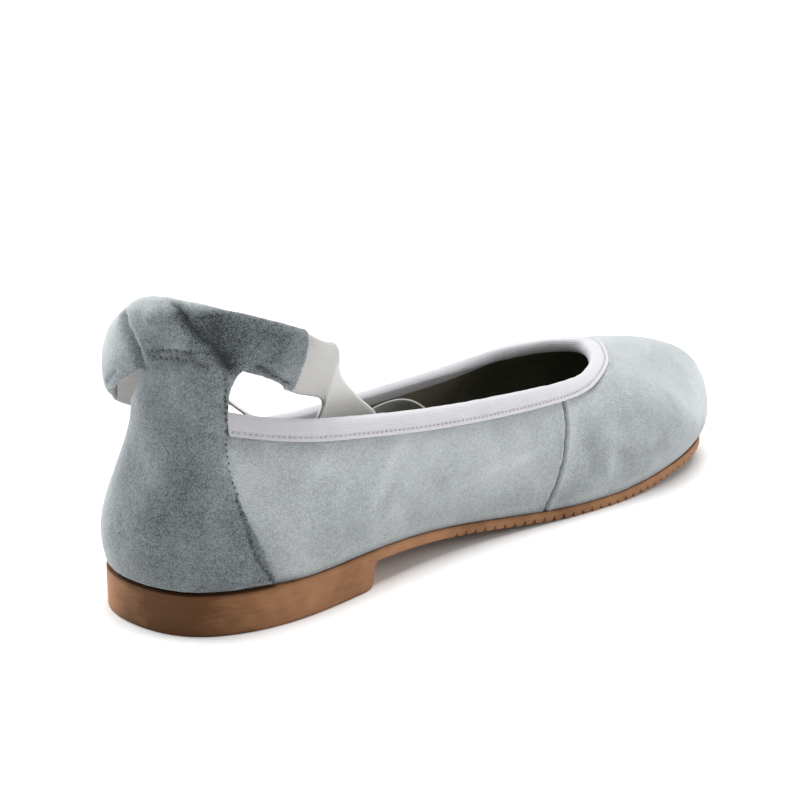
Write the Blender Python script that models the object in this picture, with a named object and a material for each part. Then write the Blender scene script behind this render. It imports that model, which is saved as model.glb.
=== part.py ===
"""Left ballet flat: a hollow suede upper on a thin sole with a low heel, a bound collar, a heel
tab that rises to a folded ankle sleeve, and two elastic straps that hang into the shoe.

Sizes are millimetres, and the meshes are metres. +Y points to the toe, +X to the inner (medial)
side of the foot and +Z up. Every curve runs from the back of the heel along the medial side to
the toe and back along the lateral side.
"""
import math
from collections import namedtuple

import bpy
import numpy as np

MM = 0.001
# Driving sizes
LENGTH = 245.0          # sole, back of the heel to the tip of the toe
BALL_WIDTH = 76.0       # sole across the ball of the foot
HEEL_HEIGHT = 11.6      # floor to the top of the sole under the heel
SOLE_THICK = 3.4
TOE_SPRING = 6.6        # rise of the sole's lower face at the toe
COLLAR_HEIGHT = 62.0    # floor to the collar at the back
INSTEP_HEIGHT = 43.0    # floor to the collar at the throat
WALL = 2.0              # upper's wall
GAP = 0.3               # left between pieces that meet
HEEL_LENGTH = 73.5      # back of the heel to the heel's front face
HEEL_CORNER = 9.0       # rounding of the heel's two front corners
HEEL_LEAN = 4.0         # front face, set back at the floor
PRESS_GAP = 0.1         # left between the heel and the flat sole above it
GROOVE_PITCH = 4.0      # cross grooves in the tread of the forefoot
GROOVE_DEPTH = 1.1
GROOVE_WIDTH = 1.2
SEAM_DEPTH = 0.5        # groove of the closed seam at the ball
SEAM_HALF = 1.0         # half its width
TAB_THICK = 1.5
TAB_GAP = 0.45          # more than GAP, since its facets and the upper's don't line up
TAB_RISE = 10.9         # collar to the neck of the heel tab
TAB_LEAN = 5.4          # neck, forward of the collar
TAB_SHIFT = 3.0         # neck, to the medial side of the heel's centre line
NECK_SHARE = 0.96       # neck's width as a share of the collar's there
NECK_DIP = 1.5          # neck's sides, lower than its middle
SLEEVE_HEIGHT = 18.0
SLEEVE_THICK = 6.0
STRAP_THICK = 1.2
STRAP_WIDTH = 18.0
BINDING_DROP = 5.2      # how far the binding reaches down the outside of the collar
BINDING_INSIDE = 2.6    # and down its inside
BINDING_THICK = 0.8
BINDING_CROWN = 0.2     # how far the folded edge keeps from the faces of the wall
TAB_NIP = 0.12          # share by which the heel tab's sides draw in halfway up
INSOLE_THICK = 2.0

# One row of the upper from the heel to the toe. foot_y and rim_y are shares of LENGTH, and the
# four widths are shares of BALL_WIDTH. up_in and up_out place the rim between INSTEP_HEIGHT at 0
# and COLLAR_HEIGHT at 1. The wall's section leaves the sole by belly outwards and rise upwards,
# and meets the rim from reach outside it and drop below: shares of BALL_WIDTH and COLLAR_HEIGHT.
Row = namedtuple("Row", "foot_y foot_in foot_out rim_y rim_in rim_out up_in up_out belly rise reach drop")
CENTRE = 0.046          # heel centre line, a share of BALL_WIDTH to the medial side
ROWS = {
    "heel_round": Row(0.022, 0.270, 0.215, 0.044, 0.175, 0.072, 0.951, 0.918, 0.092, 0.306, 0.000, 0.290),
    "counter": Row(0.106, 0.415, 0.354, 0.084, 0.257, 0.170, 0.794, 0.576, 0.079, 0.306, 0.013, 0.274),
    "seat": Row(0.190, 0.428, 0.368, 0.163, 0.318, 0.230, 0.530, 0.168, 0.079, 0.274, 0.020, 0.242),
    "breast": Row(0.270, 0.402, 0.362, 0.245, 0.338, 0.255, 0.357, -0.142, 0.079, 0.242, 0.026, 0.210),
    "waist": Row(0.410, 0.358, 0.372, 0.400, 0.345, 0.280, 0.109, -0.282, 0.079, 0.210, 0.039, 0.177),
    "seam": Row(0.557, 0.404, 0.482, 0.606, 0.330, 0.300, -0.083, -0.256, 0.079, 0.210, 0.066, 0.129),
    "ball": Row(0.686, 0.453, 0.540, 0.690, 0.275, 0.262, -0.109, -0.149, 0.079, 0.227, 0.154, 0.069),
    "toe_side": Row(0.837, 0.420, 0.455, 0.746, 0.175, 0.175, -0.051, -0.057, 0.179, 0.255, 0.286, 0.055),
    "toe_round": Row(0.947, 0.284, 0.285, 0.770, 0.092, 0.095, -0.005, -0.005, 0.139, 0.209, 0.367, 0.080),
}
HEEL_SECTION = (0.092, 0.306, -0.026, 0.323)
TOE_SECTION = (0.156, 0.420, 0.507, 0.033)
TOE_TIP_X = 0.018
RIM_BACK_Y = 0.035
RIM_TIP_Y = 0.788
EDGE_INSET = 0.8        # sole's edge to the foot of the upper
TAB_INSET = 2.0         # further in under the heel tab

# Centre line of the ankle sleeve from its medial end round the back. x is a share of BALL_WIDTH,
# y of LENGTH, and up the share of SLEEVE_HEIGHT above the neck. tall and the lean of the upper
# edge are shares of SLEEVE_HEIGHT, and thick of SLEEVE_THICK.
Sleeve = namedtuple("Sleeve", "x y up tall lean_x lean_y thick")
SLEEVE = (
    Sleeve(0.289, 0.178, -0.200, 1.000, 0.222, -0.056, 0.733),
    Sleeve(0.300, 0.135, 0.106, 0.889, 0.167, -0.056, 0.833),
    Sleeve(0.243, 0.088, 0.367, 0.806, 0.056, 0.111, 0.933),
    Sleeve(0.092, 0.059, 0.467, 0.889, 0.000, 0.167, 1.000),
    Sleeve(-0.066, 0.047, 0.356, 0.917, 0.000, 0.111, 0.933),
    Sleeve(-0.184, 0.047, 0.023, 1.000, 0.111, 0.111, 0.933),
    Sleeve(-0.276, 0.057, -0.283, 1.000, 0.111, 0.111, 0.833),
    Sleeve(-0.330, 0.070, -0.470, 0.944, 0.056, 0.056, 0.733),
)
# Centre lines of the straps after the end that the sleeve holds. x is a share of BALL_WIDTH, y of
# LENGTH and z of the neck's height. The last three columns are the direction of the tape's width.
Tape = namedtuple("Tape", "x y z wide_x wide_y wide_z")
STRAP_IN = (
    Tape(0.286, 0.204, 0.913, 0.25, -0.05, 0.96),
    Tape(0.276, 0.222, 0.873, 0.28, -0.10, 0.95),
    Tape(0.232, 0.244, 0.831, -0.25, 0.60, 0.75),
    Tape(0.184, 0.256, 0.736, -0.22, 0.74, 0.64),
    Tape(0.145, 0.283, 0.636, 0.04, 0.88, 0.47),
    Tape(0.118, 0.315, 0.547, 0.26, 0.90, 0.35),
    Tape(0.112, 0.330, 0.470, 0.25, 0.96, -0.05),
    Tape(0.099, 0.337, 0.365, 0.10, 0.99, 0.00),
    Tape(0.033, 0.341, 0.295, 0.00, 1.00, 0.00),
    Tape(-0.092, 0.345, 0.268, 0.00, 1.00, 0.00),
    Tape(-0.263, 0.347, 0.301, 0.00, 1.00, 0.00),
)
STRAP_OUT = (
    Tape(-0.362, 0.096, 0.830, -0.02, 0.02, 0.99),
    Tape(-0.322, 0.149, 0.775, 0.10, -0.20, 0.95),
    Tape(-0.263, 0.180, 0.734, 0.40, -0.45, 0.75),
    Tape(-0.171, 0.208, 0.671, 0.66, -0.69, 0.29),
    Tape(-0.099, 0.225, 0.600, 0.64, -0.67, 0.36),
    Tape(-0.079, 0.264, 0.479, 0.52, -0.58, 0.63),
    Tape(-0.079, 0.320, 0.428, 0.46, -0.51, 0.73),
    Tape(-0.013, 0.358, 0.470, 0.48, -0.52, 0.71),
    Tape(0.053, 0.388, 0.548, 0.55, -0.58, 0.60),
    Tape(0.086, 0.412, 0.572, 0.60, -0.62, 0.50),
    Tape(0.112, 0.438, 0.542, 0.58, -0.70, 0.42),
    Tape(0.158, 0.458, 0.472, 0.40, -0.85, 0.33),
    Tape(0.224, 0.473, 0.379, 0.15, -0.98, 0.15),
)
HELD_IN = (0.22, -0.05, 0.97)      # width of each strap where the sleeve holds it
HELD_OUT = (0.05, 0.05, 0.99)

SUEDE = (0.42, 0.45, 0.45, 1.0)
SUEDE_DARK = (0.36, 0.39, 0.39, 1.0)
RIBBON = (0.60, 0.60, 0.63, 1.0)
LEATHER = (0.33, 0.17, 0.09, 1.0)
LINING = (0.14, 0.13, 0.10, 1.0)


def periodic_spline(knots, values):
    """Second derivatives of the closed cubic spline through values at knots; the last knot closes it."""
    steps = np.diff(knots)
    count = len(steps)
    matrix = np.zeros((count, count))
    right = np.zeros((count, values.shape[1]))
    for i in range(count):
        before = (i - 1) % count
        after = (i + 1) % count
        matrix[i, before] += steps[before]
        matrix[i, i] += 2 * (steps[before] + steps[i])
        matrix[i, after] += steps[i]
        slope_after = (values[after] - values[i]) / steps[i]
        slope_before = (values[i] - values[before]) / steps[before]
        right[i] = 6 * (slope_after - slope_before)
    return np.linalg.solve(matrix, right)


class Loop:
    """Closed smooth curve through rows of any columns; the first two columns space its knots."""

    def __init__(self, rows):
        self.rows = np.array(rows, float)
        ends = np.vstack([self.rows, self.rows[:1]])
        chords = np.hypot(*np.diff(ends[:, :2], axis=0).T)
        self.knots = np.concatenate([[0.0], np.cumsum(chords)])
        self.bend = periodic_spline(self.knots, self.rows)

    def __call__(self, t):
        t = np.mod(t, self.knots[-1])
        i = np.clip(np.searchsorted(self.knots, t, side="right") - 1, 0, len(self.rows) - 1)
        j = (i + 1) % len(self.rows)
        step = (self.knots[i + 1] - self.knots[i])[:, None]
        b = (t - self.knots[i])[:, None] / step
        a = 1 - b
        curve = ((a ** 3 - a) * self.bend[i] + (b ** 3 - b) * self.bend[j]) * step ** 2 / 6
        return a * self.rows[i] + b * self.rows[j] + curve


def ease(low, high, value):
    """Smooth step from 0 at low to 1 at high."""
    share = np.clip((value - low) / (high - low), 0, 1)
    return share * share * (3 - 2 * share)


def unit(vectors):
    return vectors / np.maximum(np.linalg.norm(vectors, axis=-1, keepdims=True), 1e-12)


def sole_top(y):
    """Height of the sole's upper face: heel seat, arch down to the ball, then the toe spring."""
    share = np.asarray(y, float) / LENGTH
    arch = (HEEL_HEIGHT - SOLE_THICK) * (1 - ease(0.22, 0.66, share))
    spring = TOE_SPRING * np.clip((share - 0.70) / 0.30, 0, 1) ** 1.35
    return SOLE_THICK + arch + spring


def upper_rows():
    """Rows right round the upper: foot x and y, rim x, y and z, then the four section sizes."""
    middle = CENTRE * BALL_WIDTH
    across = np.array([BALL_WIDTH, COLLAR_HEIGHT, BALL_WIDTH, COLLAR_HEIGHT])
    fall = COLLAR_HEIGHT - INSTEP_HEIGHT
    heel = (middle, 0.0, middle, RIM_BACK_Y * LENGTH, COLLAR_HEIGHT)
    heel += tuple(HEEL_SECTION * across)
    toe = (TOE_TIP_X * BALL_WIDTH, LENGTH, 0.0, RIM_TIP_Y * LENGTH, INSTEP_HEIGHT)
    toe += tuple(TOE_SECTION * across)
    medial = []
    lateral = []
    for row in ROWS.values():
        section = tuple(np.array([row.belly, row.rise, row.reach, row.drop]) * across)
        medial.append((
            row.foot_in * BALL_WIDTH, row.foot_y * LENGTH,
            row.rim_in * BALL_WIDTH, row.rim_y * LENGTH, INSTEP_HEIGHT + row.up_in * fall,
        ) + section)
        lateral.append((
            -row.foot_out * BALL_WIDTH, row.foot_y * LENGTH,
            -row.rim_out * BALL_WIDTH, row.rim_y * LENGTH, INSTEP_HEIGHT + row.up_out * fall,
        ) + section)
    return [heel] + medial + [toe] + lateral[::-1]


NECK_HEIGHT = COLLAR_HEIGHT + TAB_RISE
UPPER = Loop(upper_rows())
AROUND = UPPER.knots[-1]
KEYS = list(ROWS)
COUNTER_IN = UPPER.knots[1 + KEYS.index("counter")]
COUNTER_OUT = UPPER.knots[-2 - KEYS.index("counter")] - AROUND
SEAM_IN = UPPER.knots[1 + KEYS.index("seam")]
SEAM_OUT = UPPER.knots[-2 - KEYS.index("seam")]


def sections(t, v):
    """Outer face of the upper at loop positions t (columns) and heights v from sole to collar."""
    row = UPPER(t)
    ahead = UPPER(t + 0.5)[:, :2]
    behind = UPPER(t - 0.5)[:, :2]
    along = unit(ahead - behind)
    out = np.stack([along[:, 1], -along[:, 0], np.zeros(len(t))], axis=1)
    inset = EDGE_INSET + TAB_INSET * (1 - ease(0.08, 0.16, row[:, 1:2] / LENGTH))
    foot = np.stack([row[:, 0], row[:, 1], sole_top(row[:, 1]) + GAP], axis=1) - out * inset
    rim = row[:, 2:5]
    up = np.array([0.0, 0.0, 1.0])
    low = foot + out * row[:, 5:6] + up * row[:, 6:7]
    high = rim + out * row[:, 7:8] - up * row[:, 8:9]
    v = np.asarray(v, float)[:, None, None]
    w = 1 - v
    return w ** 3 * foot + 3 * w * w * v * low + 3 * w * v * v * high + v ** 3 * rim


def face_normals(t, v, step=0.4):
    """Unit outward normals of the upper's outer face."""
    v = np.asarray(v, float)
    across = sections(t + step, v) - sections(t - step, v)
    rise = sections(t, np.minimum(v + 0.01, 1.0)) - sections(t, np.maximum(v - 0.01, 0.0))
    return unit(np.cross(across, rise))


AROUND_FINE = np.linspace(0, AROUND, 2400, endpoint=False)
SOLE_EDGE = UPPER(AROUND_FINE)[:, :2]


def seam_groove(t):
    """Depth of the ball seam's groove at loop positions t."""
    near = np.minimum(np.abs(t - SEAM_IN), np.abs(t - SEAM_OUT))
    return SEAM_DEPTH * np.clip(1 - near / SEAM_HALF, 0, 1)


def shell(t, v, outer, inner):
    """Outer and inner grids offset from the upper's face by the two distances."""
    face = sections(t, v)
    normal = face_normals(t, v)
    return face + normal * outer, face + normal * inner


def facing_out(points, faces):
    """The faces, turned round if they enclose a negative volume."""
    points = np.asarray(points, float)
    volume = 0.0
    for face in faces:
        for j in range(1, len(face) - 1):
            volume += np.dot(points[face[0]], np.cross(points[face[j]], points[face[j + 1]]))
    return faces if volume > 0 else [face[::-1] for face in faces]


def new_object(name, points, faces, colour, roughness=0.8):
    """Mesh object from millimetre points, with its own material."""
    faces = facing_out(points, faces)
    mesh = bpy.data.meshes.new(name)
    mesh.from_pydata((np.asarray(points) * MM).tolist(), [], [tuple(face) for face in faces])
    mesh.validate()
    material = bpy.data.materials.new(name)
    material.use_nodes = True
    surface = material.node_tree.nodes["Principled BSDF"]
    surface.inputs["Base Color"].default_value = colour
    surface.inputs["Roughness"].default_value = roughness
    mesh.materials.append(material)
    made = bpy.data.objects.new(name, mesh)
    bpy.context.scene.collection.objects.link(made)
    return made


def loft(rings, closed_rings=True, closed_path=False):
    """Points and quads of rings joined in order; open paths get end caps."""
    rings = np.asarray(rings, float)
    count, size = rings.shape[:2]
    faces = []
    for i in range(count if closed_path else count - 1):
        for j in range(size if closed_rings else size - 1):
            a = i * size + j
            b = i * size + (j + 1) % size
            c = ((i + 1) % count) * size + (j + 1) % size
            d = ((i + 1) % count) * size + j
            faces.append((a, b, c, d))
    if not closed_path:
        faces += end_cap(0, size, False) + end_cap((count - 1) * size, size, True)
    return rings.reshape(-1, 3), faces


def end_cap(start, size, last):
    """Strip of quads across a ring whose points pair up from both ends."""
    faces = []
    for k in range(size // 2 - 1):
        quad = (start + k, start + k + 1, start + size - 2 - k, start + size - 1 - k)
        faces.append(quad if last else quad[::-1])
    return faces


def edges_at(y, curve):
    """Medial and lateral x of a closed curve, which starts at the heel, at stations y."""
    curve = np.roll(curve, -int(np.argmin(curve[:, 1])), axis=0)
    tip = int(np.argmax(curve[:, 1]))
    medial = curve[: tip + 1]
    lateral = curve[tip:][::-1]
    return (
        np.interp(y, medial[:, 1], medial[:, 0]),
        np.interp(y, lateral[:, 1], lateral[:, 0]),
    )


def plate_rings(stations, top, bottom, curve, inset=0.0, bevel=0.4):
    """Cross sections of a flat plate inside a closed curve, with bevelled lower edges."""
    medial, lateral = edges_at(stations, curve)
    middle = (medial + lateral) / 2
    half = np.maximum((medial - lateral) / 2 - inset, 0.6)
    rings = []
    for y, m, h, high, low in zip(stations, middle, half, top, bottom):
        small = min(bevel, h * 0.3)
        rings.append([
            (m + h, y, high), (m, y, high), (m - h, y, high), (m - h, y, low + small),
            (m - h + small, y, low), (m, y, low), (m + h - small, y, low), (m + h, y, low + small),
        ])
    return rings


def rounded_stations(start, end, count):
    """Stations along the shoe, closer together at both ends."""
    share = (1 - np.cos(np.linspace(0, math.pi, count))) / 2
    return start + (end - start) * share


def make_outsole():
    """Sole plate with a toe spring, an arch and cross grooves that notch its lower edge."""
    stations = list(rounded_stations(0.25, LENGTH - 0.2, 44))
    first, last = 0.50 * LENGTH, 0.965 * LENGTH
    grooves = np.arange(first, last, GROOVE_PITCH)
    half = GROOVE_WIDTH / 2
    stations = [y for y in stations if np.min(np.abs(grooves - y)) > GROOVE_WIDTH]
    cuts = {}
    for y in grooves:
        stations += [y - half, y, y + half]
        cuts[round(float(y), 4)] = GROOVE_DEPTH
    stations = np.array(sorted(stations))
    top = sole_top(stations)
    depth = np.array([cuts.get(round(float(y), 4), 0.0) for y in stations])
    bottom = top - SOLE_THICK + depth
    points, faces = loft(plate_rings(stations, top, bottom, SOLE_EDGE))
    return new_object("outsole", points, faces, LEATHER, 0.5)


def make_heel():
    """Low heel block under the seat: the sole's outline, rounded front corners, a leaning front."""
    stations = rounded_stations(0.3, HEEL_LENGTH - HEEL_CORNER, 15)
    corner = np.array([0.25, 0.5, 0.7, 0.85, 0.95, 1.0])
    stations = np.concatenate([stations, HEEL_LENGTH - HEEL_CORNER * (1 - corner)])
    inset = np.zeros(len(stations))
    inset[-len(corner):] = HEEL_CORNER * (1 - np.sqrt(1 - corner ** 2 * 0.99))
    rings = []
    for y, moved in zip(stations, inset):
        top = np.array([sole_top(y) - SOLE_THICK - PRESS_GAP])
        rings += plate_rings(np.array([y]), top, np.zeros(1), SOLE_EDGE, 0.1 + moved, 0.6)
    rings = np.array(rings)
    # The front face leans back towards the floor.
    share = ease(HEEL_LENGTH - HEEL_CORNER - HEEL_LEAN, HEEL_LENGTH, rings[..., 1])
    rings[..., 1] -= HEEL_LEAN * share * (1 - rings[..., 2] / rings[..., 2].max())
    points, faces = loft(rings)
    return new_object("heel", points, faces, LEATHER, 0.5)


def make_insole():
    """Foot bed that fills the floor inside the upper's wall."""
    floor = shell(AROUND_FINE, [0.0], 0.0, -WALL - 2 * GAP)[1][0]
    stations = rounded_stations(floor[:, 1].min() + 0.3, floor[:, 1].max() - 0.3, 30)
    bottom = sole_top(stations) + GAP
    points, faces = loft(plate_rings(stations, bottom + INSOLE_THICK, bottom, floor[:, :2]))
    return new_object("insole", points, faces, LINING)


UPPER_COLUMNS = 88


def binding_ends():
    """Loop positions where the binding starts and stops, just clear of the heel tab."""
    return [COUNTER_IN + 2 * GAP, AROUND + COUNTER_OUT - 2 * GAP]


def loop_positions(count):
    """Positions round the upper, with pairs either side of the ball seams for their grooves."""
    marks = []
    for seam in (SEAM_IN, SEAM_OUT):
        marks += [seam - SEAM_HALF, seam, seam + SEAM_HALF]
    marks += binding_ends()
    even = np.linspace(0, AROUND, count, endpoint=False)
    kept = [t for t in even if min(abs(t - mark) for mark in marks) > 1.4]
    return np.array(sorted(kept + marks))


def make_upper():
    """Hollow upper: an outer and an inner face joined round the collar and along the sole."""
    t = loop_positions(UPPER_COLUMNS)
    v = np.array([0.0, 0.08, 0.18, 0.30, 0.42, 0.54, 0.66, 0.76, 0.85, 0.93, 1.0])
    groove = -seam_groove(t)[None, :, None] * np.ones((len(v), 1, 1))
    outer, inner = shell(t, v, groove, -WALL)
    inner[0, :, 2] = outer[0, :, 2]
    profile = np.concatenate([outer, inner[::-1]], axis=0)
    points, faces = loft(np.swapaxes(profile, 0, 1), closed_path=True)
    return new_object("upper", points, faces, SUEDE, 0.9)


def make_binding():
    """Ribbed tape folded over the collar from one edge of the heel tab to the other."""
    first, last = binding_ends()
    places = loop_positions(UPPER_COLUMNS)
    t = places[(places >= first) & (places <= last)]
    rim = sections(t, [1.0])[0]
    near = GAP
    far = GAP + BINDING_THICK
    levels = np.linspace(0.5, 1.0, 51)
    face = sections(t, levels)
    turn = face_normals(t, levels)
    reach = np.cumsum(np.linalg.norm(np.diff(face[::-1], axis=0), axis=2), axis=0)
    rings = []
    for i in range(len(t)):
        picks = [50]
        for drop in (BINDING_INSIDE, BINDING_DROP):
            picks.append(49 - int(np.searchsorted(reach[:, i], drop)))
        place = face[picks, i]
        normal = turn[picks, i]
        up = unit(face[50, i] - face[48, i])
        crown = rim[i] + up * near
        ridge = rim[i] + up * far
        rings.append([
            place[2] + normal[2] * far, place[1] + normal[1] * far, place[0] + normal[0] * far,
            ridge + normal[0] * BINDING_CROWN, ridge - normal[0] * (WALL + BINDING_CROWN),
            place[0] - normal[0] * (WALL + far), place[1] - normal[1] * (WALL + far),
            place[1] - normal[1] * (WALL + near), crown - normal[0] * (WALL + near),
            crown + normal[0] * near, place[1] + normal[1] * near, place[2] + normal[2] * near,
        ])
    rings = np.array(rings)
    points, faces = loft(rings)
    size = rings.shape[1]
    faces = [face for face in faces if len(set(index // size for index in face)) > 1]
    for start, last in ((0, False), ((len(t) - 1) * size, True)):
        for k in ((0, 1, 10, 11), (1, 2, 9, 10), (2, 3, 9), (3, 4, 8, 9), (4, 5, 8), (5, 6, 7, 8)):
            face = tuple(start + index for index in k)
            faces.append(face if last else face[::-1])
    return new_object("collar_binding", points, faces, RIBBON, 0.8)


def open_curve(rows, count):
    """Smooth open curve through the rows, evenly spread by length over count places."""
    rows = np.array(rows, float)
    chords = np.linalg.norm(np.diff(rows[:, :3], axis=0), axis=1)
    knots = np.concatenate([[0.0], np.cumsum(chords)])
    slopes = np.gradient(rows, knots, axis=0)
    place = np.linspace(0, knots[-1], count)
    i = np.clip(np.searchsorted(knots, place, side="right") - 1, 0, len(chords) - 1)
    step = chords[i][:, None]
    s = (place - knots[i])[:, None] / step
    start = rows[i] * (1 + 2 * s) + slopes[i] * step * s
    end = rows[i + 1] * (3 - 2 * s) - slopes[i + 1] * step * (1 - s)
    return (1 - s) ** 2 * start + s ** 2 * end


def make_heel_tab():
    """Counter panel over the back of the upper, rising past the collar to a narrow neck."""
    t = np.linspace(COUNTER_OUT, COUNTER_IN, 19)
    v = np.array([0.02, 0.14, 0.28, 0.42, 0.56, 0.70, 0.84, 0.96])
    outer = []
    inner = []
    for level in v:
        drawn = t * (1 - TAB_NIP * math.sin(math.pi * level))
        far, near = shell(drawn, [level], TAB_GAP + TAB_THICK, TAB_GAP)
        outer.append(far[0])
        inner.append(near[0])
    rim = sections(t, [1.0])[0]
    normal = face_normals(t, np.array([1.0]))[0]
    middle = CENTRE * BALL_WIDTH
    neck = rim.copy()
    back = RIM_BACK_Y * LENGTH
    side = (rim[:, 0] - middle) / (rim[:, 0].max() - middle)
    neck[:, 0] = middle + TAB_SHIFT + (rim[:, 0] - middle) * NECK_SHARE
    neck[:, 1] = back + TAB_LEAN + (rim[:, 1] - back) * NECK_SHARE / 2
    neck[:, 2] = NECK_HEIGHT - NECK_DIP * side ** 2
    outside = TAB_GAP + TAB_THICK
    above = [(0.0, outside, TAB_GAP), (0.8 / TAB_RISE, outside, TAB_GAP + 0.1)]
    above += [(share, outside, -WALL) for share in (0.16, 0.4, 0.7, 1.0)]
    rows_out = list(outer)
    rows_in = list(inner)
    for share, far, near in above:
        centre = rim + (neck - rim) * share
        rows_out.append(centre + normal * far * (1 - 0.15 * share))
        rows_in.append(centre + normal * near)
    profile = np.concatenate([np.array(rows_out), np.array(rows_in)[::-1]], axis=0)
    points, faces = loft(np.swapaxes(profile, 0, 1))
    return new_object("heel_tab", points, faces, SUEDE_DARK, 0.9)


def frames(curve):
    """Unit directions along a curve of points."""
    return unit(np.gradient(curve, axis=0))


def sleeve_rows():
    """The sleeve's table in millimetres."""
    rows = np.array(SLEEVE)
    sizes = [BALL_WIDTH, LENGTH] + [SLEEVE_HEIGHT] * 4 + [SLEEVE_THICK]
    return rows * sizes + np.array([0, 0, NECK_HEIGHT, 0, 0, 0, 0])


def strap_rows(table, end, held):
    """A strap's table in millimetres, begun at the end of the sleeve that holds it."""
    line = open_curve(sleeve_rows(), 27)[:, :3]
    stop, before = (line[0], line[1]) if end == 0 else (line[-1], line[-2])
    start = stop + unit(stop - before) * 2 * GAP
    rows = np.array(table) * [BALL_WIDTH, LENGTH, NECK_HEIGHT, 1, 1, 1]
    return np.vstack([np.concatenate([start, held]), rows])


def make_sleeve():
    """Folded suede sleeve that curves round the back of the ankle and holds the straps' ends."""
    rows = open_curve(sleeve_rows(), 27)
    centre = rows[:, :3]
    along = frames(centre)
    wide = unit(np.stack([rows[:, 4], rows[:, 5], rows[:, 3]], axis=1))
    across = unit(np.cross(along, wide))
    angle = np.linspace(0, 2 * math.pi, 12, endpoint=False) + math.pi / 12
    rings = []
    for i in range(len(centre)):
        high = np.sign(np.sin(angle)) * np.abs(np.sin(angle)) ** 0.75 * rows[i, 3] / 2
        deep = np.sign(np.cos(angle)) * np.abs(np.cos(angle)) ** 0.75 * rows[i, 6] / 2
        rings.append(centre[i] + wide[i] * high[:, None] - across[i] * deep[:, None])
    points, faces = loft(rings)
    return new_object("ankle_sleeve", points, faces, SUEDE_DARK, 0.9)


def make_strap(name, table, count):
    """Flat elastic tape along its centre line."""
    rows = open_curve(table, count)
    centre = rows[:, :3]
    along = frames(centre)
    wide = unit(rows[:, 3:6])
    across = unit(np.cross(along, wide))
    rings = []
    for i in range(count):
        ring = []
        for side, face in ((-1, -1), (0, -1), (1, -1), (1, 1), (0, 1), (-1, 1)):
            reach = wide[i] * side * STRAP_WIDTH / 2
            ring.append(centre[i] + reach + across[i] * face * STRAP_THICK / 2)
        rings.append(ring)
    points, faces = loft(rings)
    return new_object(name, points, faces, RIBBON, 0.7)


def centre_on_origin(pieces):
    """Moves every mesh so that the box round them all is centred over the origin."""
    corners = np.array([vertex.co[:] for piece in pieces for vertex in piece.data.vertices])
    middle = (corners.min(axis=0) + corners.max(axis=0)) / 2
    middle[2] = corners[:, 2].min()
    for piece in pieces:
        for vertex in piece.data.vertices:
            vertex.co = [value - moved for value, moved in zip(vertex.co, middle)]
        piece.data.update()
    return middle


def build():
    """Clears the scene, makes every piece and returns how far they were moved, in metres."""
    for thing in list(bpy.data.objects):
        bpy.data.objects.remove(thing, do_unlink=True)
    pieces = [
        make_outsole(), make_heel(), make_insole(), make_upper(), make_heel_tab(),
        make_binding(), make_sleeve(),
        make_strap("strap_medial", strap_rows(STRAP_IN, 0, HELD_IN), 26),
        make_strap("strap_lateral", strap_rows(STRAP_OUT, -1, HELD_OUT), 28),
    ]
    return centre_on_origin(pieces)


MOVED = build()
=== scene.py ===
"""Left ballet flat in pale suede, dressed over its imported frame.

Inside the classes lengths are millimetres, +Y runs from the heel to the toe, +X to the medial
side and +Z up, with the back of the heel at Y = 0. Meshes are written in metres in the frame's
own place.
"""

import logging
import math
from dataclasses import dataclass
from enum import Enum
from typing import Callable, NamedTuple, Optional, Sequence, Union

import bpy
import numpy as np
from mathutils import Matrix, Vector


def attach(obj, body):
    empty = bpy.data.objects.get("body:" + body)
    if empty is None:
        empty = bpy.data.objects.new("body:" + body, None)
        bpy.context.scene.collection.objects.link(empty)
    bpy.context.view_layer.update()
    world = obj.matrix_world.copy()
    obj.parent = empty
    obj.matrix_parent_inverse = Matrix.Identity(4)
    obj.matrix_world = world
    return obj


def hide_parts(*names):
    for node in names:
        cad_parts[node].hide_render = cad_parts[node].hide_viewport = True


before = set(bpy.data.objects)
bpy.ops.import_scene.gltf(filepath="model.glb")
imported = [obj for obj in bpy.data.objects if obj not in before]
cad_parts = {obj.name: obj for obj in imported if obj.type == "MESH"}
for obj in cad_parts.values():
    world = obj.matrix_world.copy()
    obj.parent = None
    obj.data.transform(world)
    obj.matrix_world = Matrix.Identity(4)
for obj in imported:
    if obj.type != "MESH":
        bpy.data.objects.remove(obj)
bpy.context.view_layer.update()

Array = np.ndarray
log = logging.getLogger("ballet_flat")

MM = 0.001
ORIGIN = np.array([-1.9367, 122.9962, 0.0])


class Tone(Enum):
    """Base colours in linear RGB."""

    SUEDE_LIGHT = (0.47, 0.495, 0.505)
    SUEDE_MID = (0.345, 0.367, 0.375)
    SUEDE_DEEP = (0.215, 0.235, 0.242)
    # TAB tones are the suede darkened, partly as painted shade where the tab faces away from the
    # lamps and partly for the nap's darker lie.
    TAB_LIGHT = (0.40, 0.425, 0.435)
    TAB_MID = (0.20, 0.222, 0.232)
    TAB_DEEP = (0.034, 0.041, 0.042)
    RIBBON = (0.56, 0.55, 0.575)
    RIBBON_DEEP = (0.45, 0.44, 0.465)
    ELASTIC = (0.75, 0.74, 0.72)
    ELASTIC_DEEP = (0.60, 0.59, 0.575)
    THREAD = (0.44, 0.44, 0.46)
    # HOLE is painted shade: the dark inside the stitch holes.
    HOLE = (0.06, 0.068, 0.072)
    SOLE = (0.44, 0.218, 0.108)
    SOLE_DEEP = (0.10, 0.042, 0.015)
    LINING = (0.14, 0.135, 0.105)
    LINING_LIGHT = (0.23, 0.222, 0.175)
    FLOOR = (0.88, 0.88, 0.88)


def unit(vectors: Array) -> Array:
    """Vectors scaled to length 1 along their last axis."""
    return vectors / np.maximum(np.linalg.norm(vectors, axis=-1, keepdims=True), 1e-12)


def ease(low: float, high: float, value: Array) -> Array:
    """Smooth step from 0 at low to 1 at high: share squared times 3 less twice the share."""
    share = np.clip((value - low) / (high - low), 0, 1)
    return share * share * (3 - 2 * share)


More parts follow.
